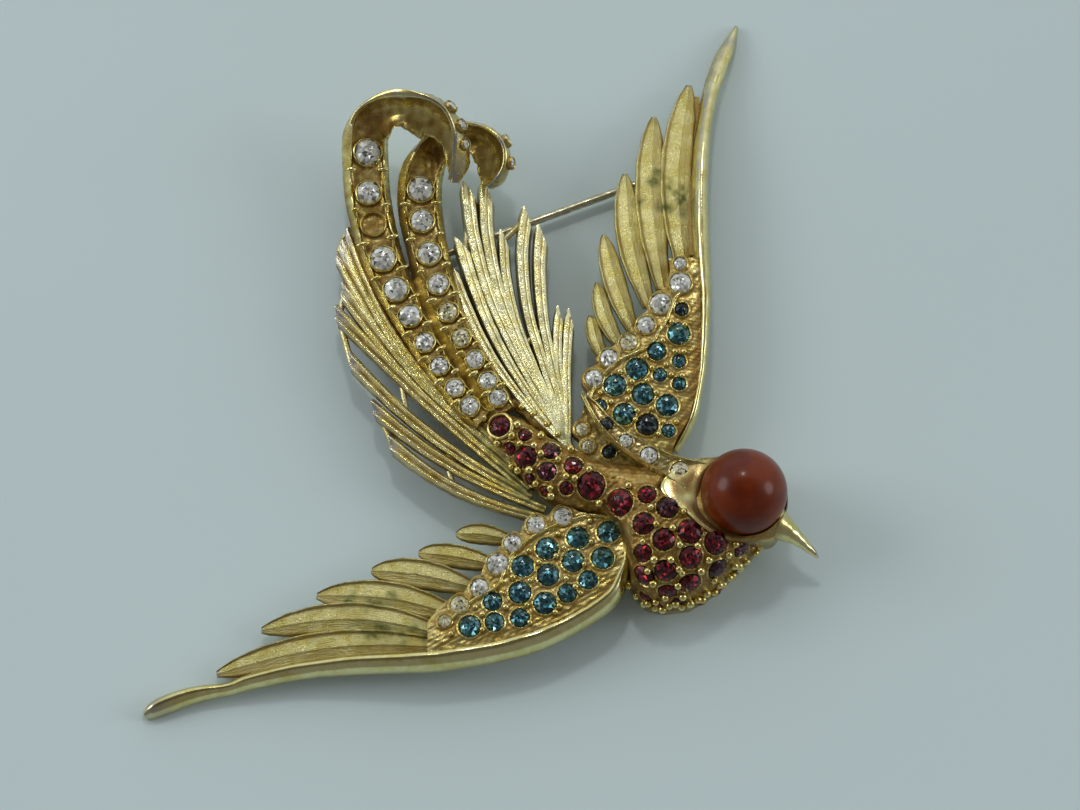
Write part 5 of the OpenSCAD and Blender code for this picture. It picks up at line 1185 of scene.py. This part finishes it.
    # the empty seat's floor, coloured with painted shade
    for place, up, d in empty:
        piece.add(*turned([(0.05, -0.75), (0.4 * d, -0.6), (0.42 * d, -0.35), (0.05, -0.5)], place, up, 20),
                  tone=(1.0, 0, 0))
    shares = np.linspace(last + 0.04, 0.985, 90)
    line = curve(path, shares)
    side, up = axes_along(path, shares, True)
    band = 1 + plume["band"] * np.exp(-((shares[:, None] - 0.64) / 0.055) ** 2)
    wire = line[:, :3] + side * (0.485 * line[:, 3:4]) + up * ((curl - 0.10) * CHANNEL_H)
    slim_wire = 0.20 * np.sin(np.linspace(0.25, math.pi - 0.35, 90))[:, None] ** 0.5 + 0.05
    spin = np.linspace(0, 2 * math.pi, 10, endpoint=False)
    rings = (wire[:, None] + side[:, None] * (slim_wire * band * np.cos(spin))[..., None]
             + up[:, None] * (slim_wire * np.sin(spin))[..., None])
    rub = np.clip(0.45 + 0.6 * wobble(rings, 3.0, 79) + 0.5 * smoothstep(np.linspace(0, 1, 90)[:, None], 0.7, 0.9), 0, 1)
    piece.add(*shell(rings), tone=capped(tones(0, rub)))
    piece.finish(plume["name"] + "_channel", CAST, [plume["name"]], sharp=55)
    stones(plume["name"] + "_brilliants", seats, plume["kinds"], "clear_glass", [plume["name"] + "_crystals"])


build_plume(LEFT_PLUME)
build_plume(RIGHT_PLUME)

# ---------------------------------------------------------------- back: hinge, catch and pin

steel = steel_paint()
for node, paint in (("hinge_bracket", BACK), ("catch", BACK), ("pin_stem", steel)):
    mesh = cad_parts[node].data
    mesh.materials.clear()
    mesh.materials.append(paint)

# ---------------------------------------------------------------- table, lights and camera


def build_table():
    mesh = bpy.data.meshes.new("table_top")
    half = 2.0
    mesh.from_pydata([(-half, -half, 0), (half, -half, 0), (half, half, 0), (-half, half, 0)], [], [(0, 1, 2, 3)])
    paint, tree, shader = nodes_of("table_paint")
    place = add_node(tree, "ShaderNodeTexCoord").outputs["Object"]
    cloud = fitted(tree, noise(tree, place, 6, 2), 0.3, 0.7)
    tree.links.new(blend_colour(tree, cloud, (0.665, 0.79, 0.80), (0.70, 0.83, 0.84)), shader.inputs["Base Color"])
    shader.inputs["Roughness"].default_value = 0.45
    shader.inputs["Specular IOR Level"].default_value = 0.3
    mesh.materials.append(paint)
    obj = bpy.data.objects.new("table_top", mesh)
    bpy.context.scene.collection.objects.link(obj)


AIM = Vector((5.6, -4.97, 4.0)) * MM
ELEVATION = math.radians(74)
VIEW = Vector((0, -math.cos(ELEVATION), math.sin(ELEVATION)))
VIEW_UP = Vector((0, math.sin(ELEVATION), math.cos(ELEVATION)))


def lamp(name, way, distance, size, power, colour):
    """A square soft light that the camera would see in direction way (right, up, towards it)."""
    data = bpy.data.lights.new(name, "AREA")
    data.shape = "ELLIPSE"
    data.size, data.size_y = size
    data.energy, data.color = power, colour
    obj = bpy.data.objects.new(name, data)
    bpy.context.scene.collection.objects.link(obj)
    direction = (Vector((1, 0, 0)) * way[0] + VIEW_UP * way[1] + VIEW * way[2]).normalized()
    obj.location = AIM + direction * distance
    obj.rotation_euler = (-direction).to_track_quat("-Z", "Y").to_euler()


def build_lights():
    lamp("ceiling_lamp", (-0.04, 0.76, 0.645), 0.9, (0.09, 0.09), 0.75, (1.0, 0.98, 0.95))
    lamp("left_window", (-0.86, 0.32, 0.45), 0.9, (0.50, 0.44), 1.8, (0.93, 0.97, 1.0))
    lamp("right_window", (0.92, 0.14, 0.36), 0.9, (0.40, 0.42), 1.3, (0.93, 0.97, 1.0))
    world = bpy.data.worlds.new("room")
    bpy.context.scene.world = world
    world.use_nodes = True
    tree = world.node_tree
    shader = tree.nodes["Background"]
    split = add_node(tree, "ShaderNodeSeparateXYZ")
    tree.links.new(add_node(tree, "ShaderNodeTexCoord").outputs["Generated"], split.inputs[0])
    climb = maths(tree, "ADD", maths(tree, "MULTIPLY", split.outputs[1], 0.75),
                  maths(tree, "MULTIPLY", split.outputs[2], 0.25))
    colour = blend_colour(tree, fitted(tree, climb, -0.35, 0.9), (0.20, 0.20, 0.20), (0.78, 0.82, 0.84))
    ahead = maths(tree, "ADD", maths(tree, "MULTIPLY", split.outputs[1], -0.08),
                  maths(tree, "MULTIPLY", split.outputs[2], 0.997))
    colour = blend_colour(tree, fitted(tree, ahead, 0.70, 0.95), colour, (0.10, 0.09, 0.08))
    tree.links.new(colour, shader.inputs["Color"])
    shader.inputs["Strength"].default_value = 1.0


def build_camera():
    data = bpy.data.cameras.new("camera")
    data.sensor_width, data.lens = 36.0, 200.0
    data.clip_start, data.clip_end = 0.01, 20.0
    obj = bpy.data.objects.new("camera", data)
    bpy.context.scene.collection.objects.link(obj)
    distance = 0.6
    obj.location = AIM + VIEW * distance
    obj.rotation_euler = (-VIEW).to_track_quat("-Z", "Y").to_euler()
    bpy.context.scene.camera = obj


build_table()
build_lights()
build_camera()
bpy.context.scene.view_settings.view_transform = "Standard"
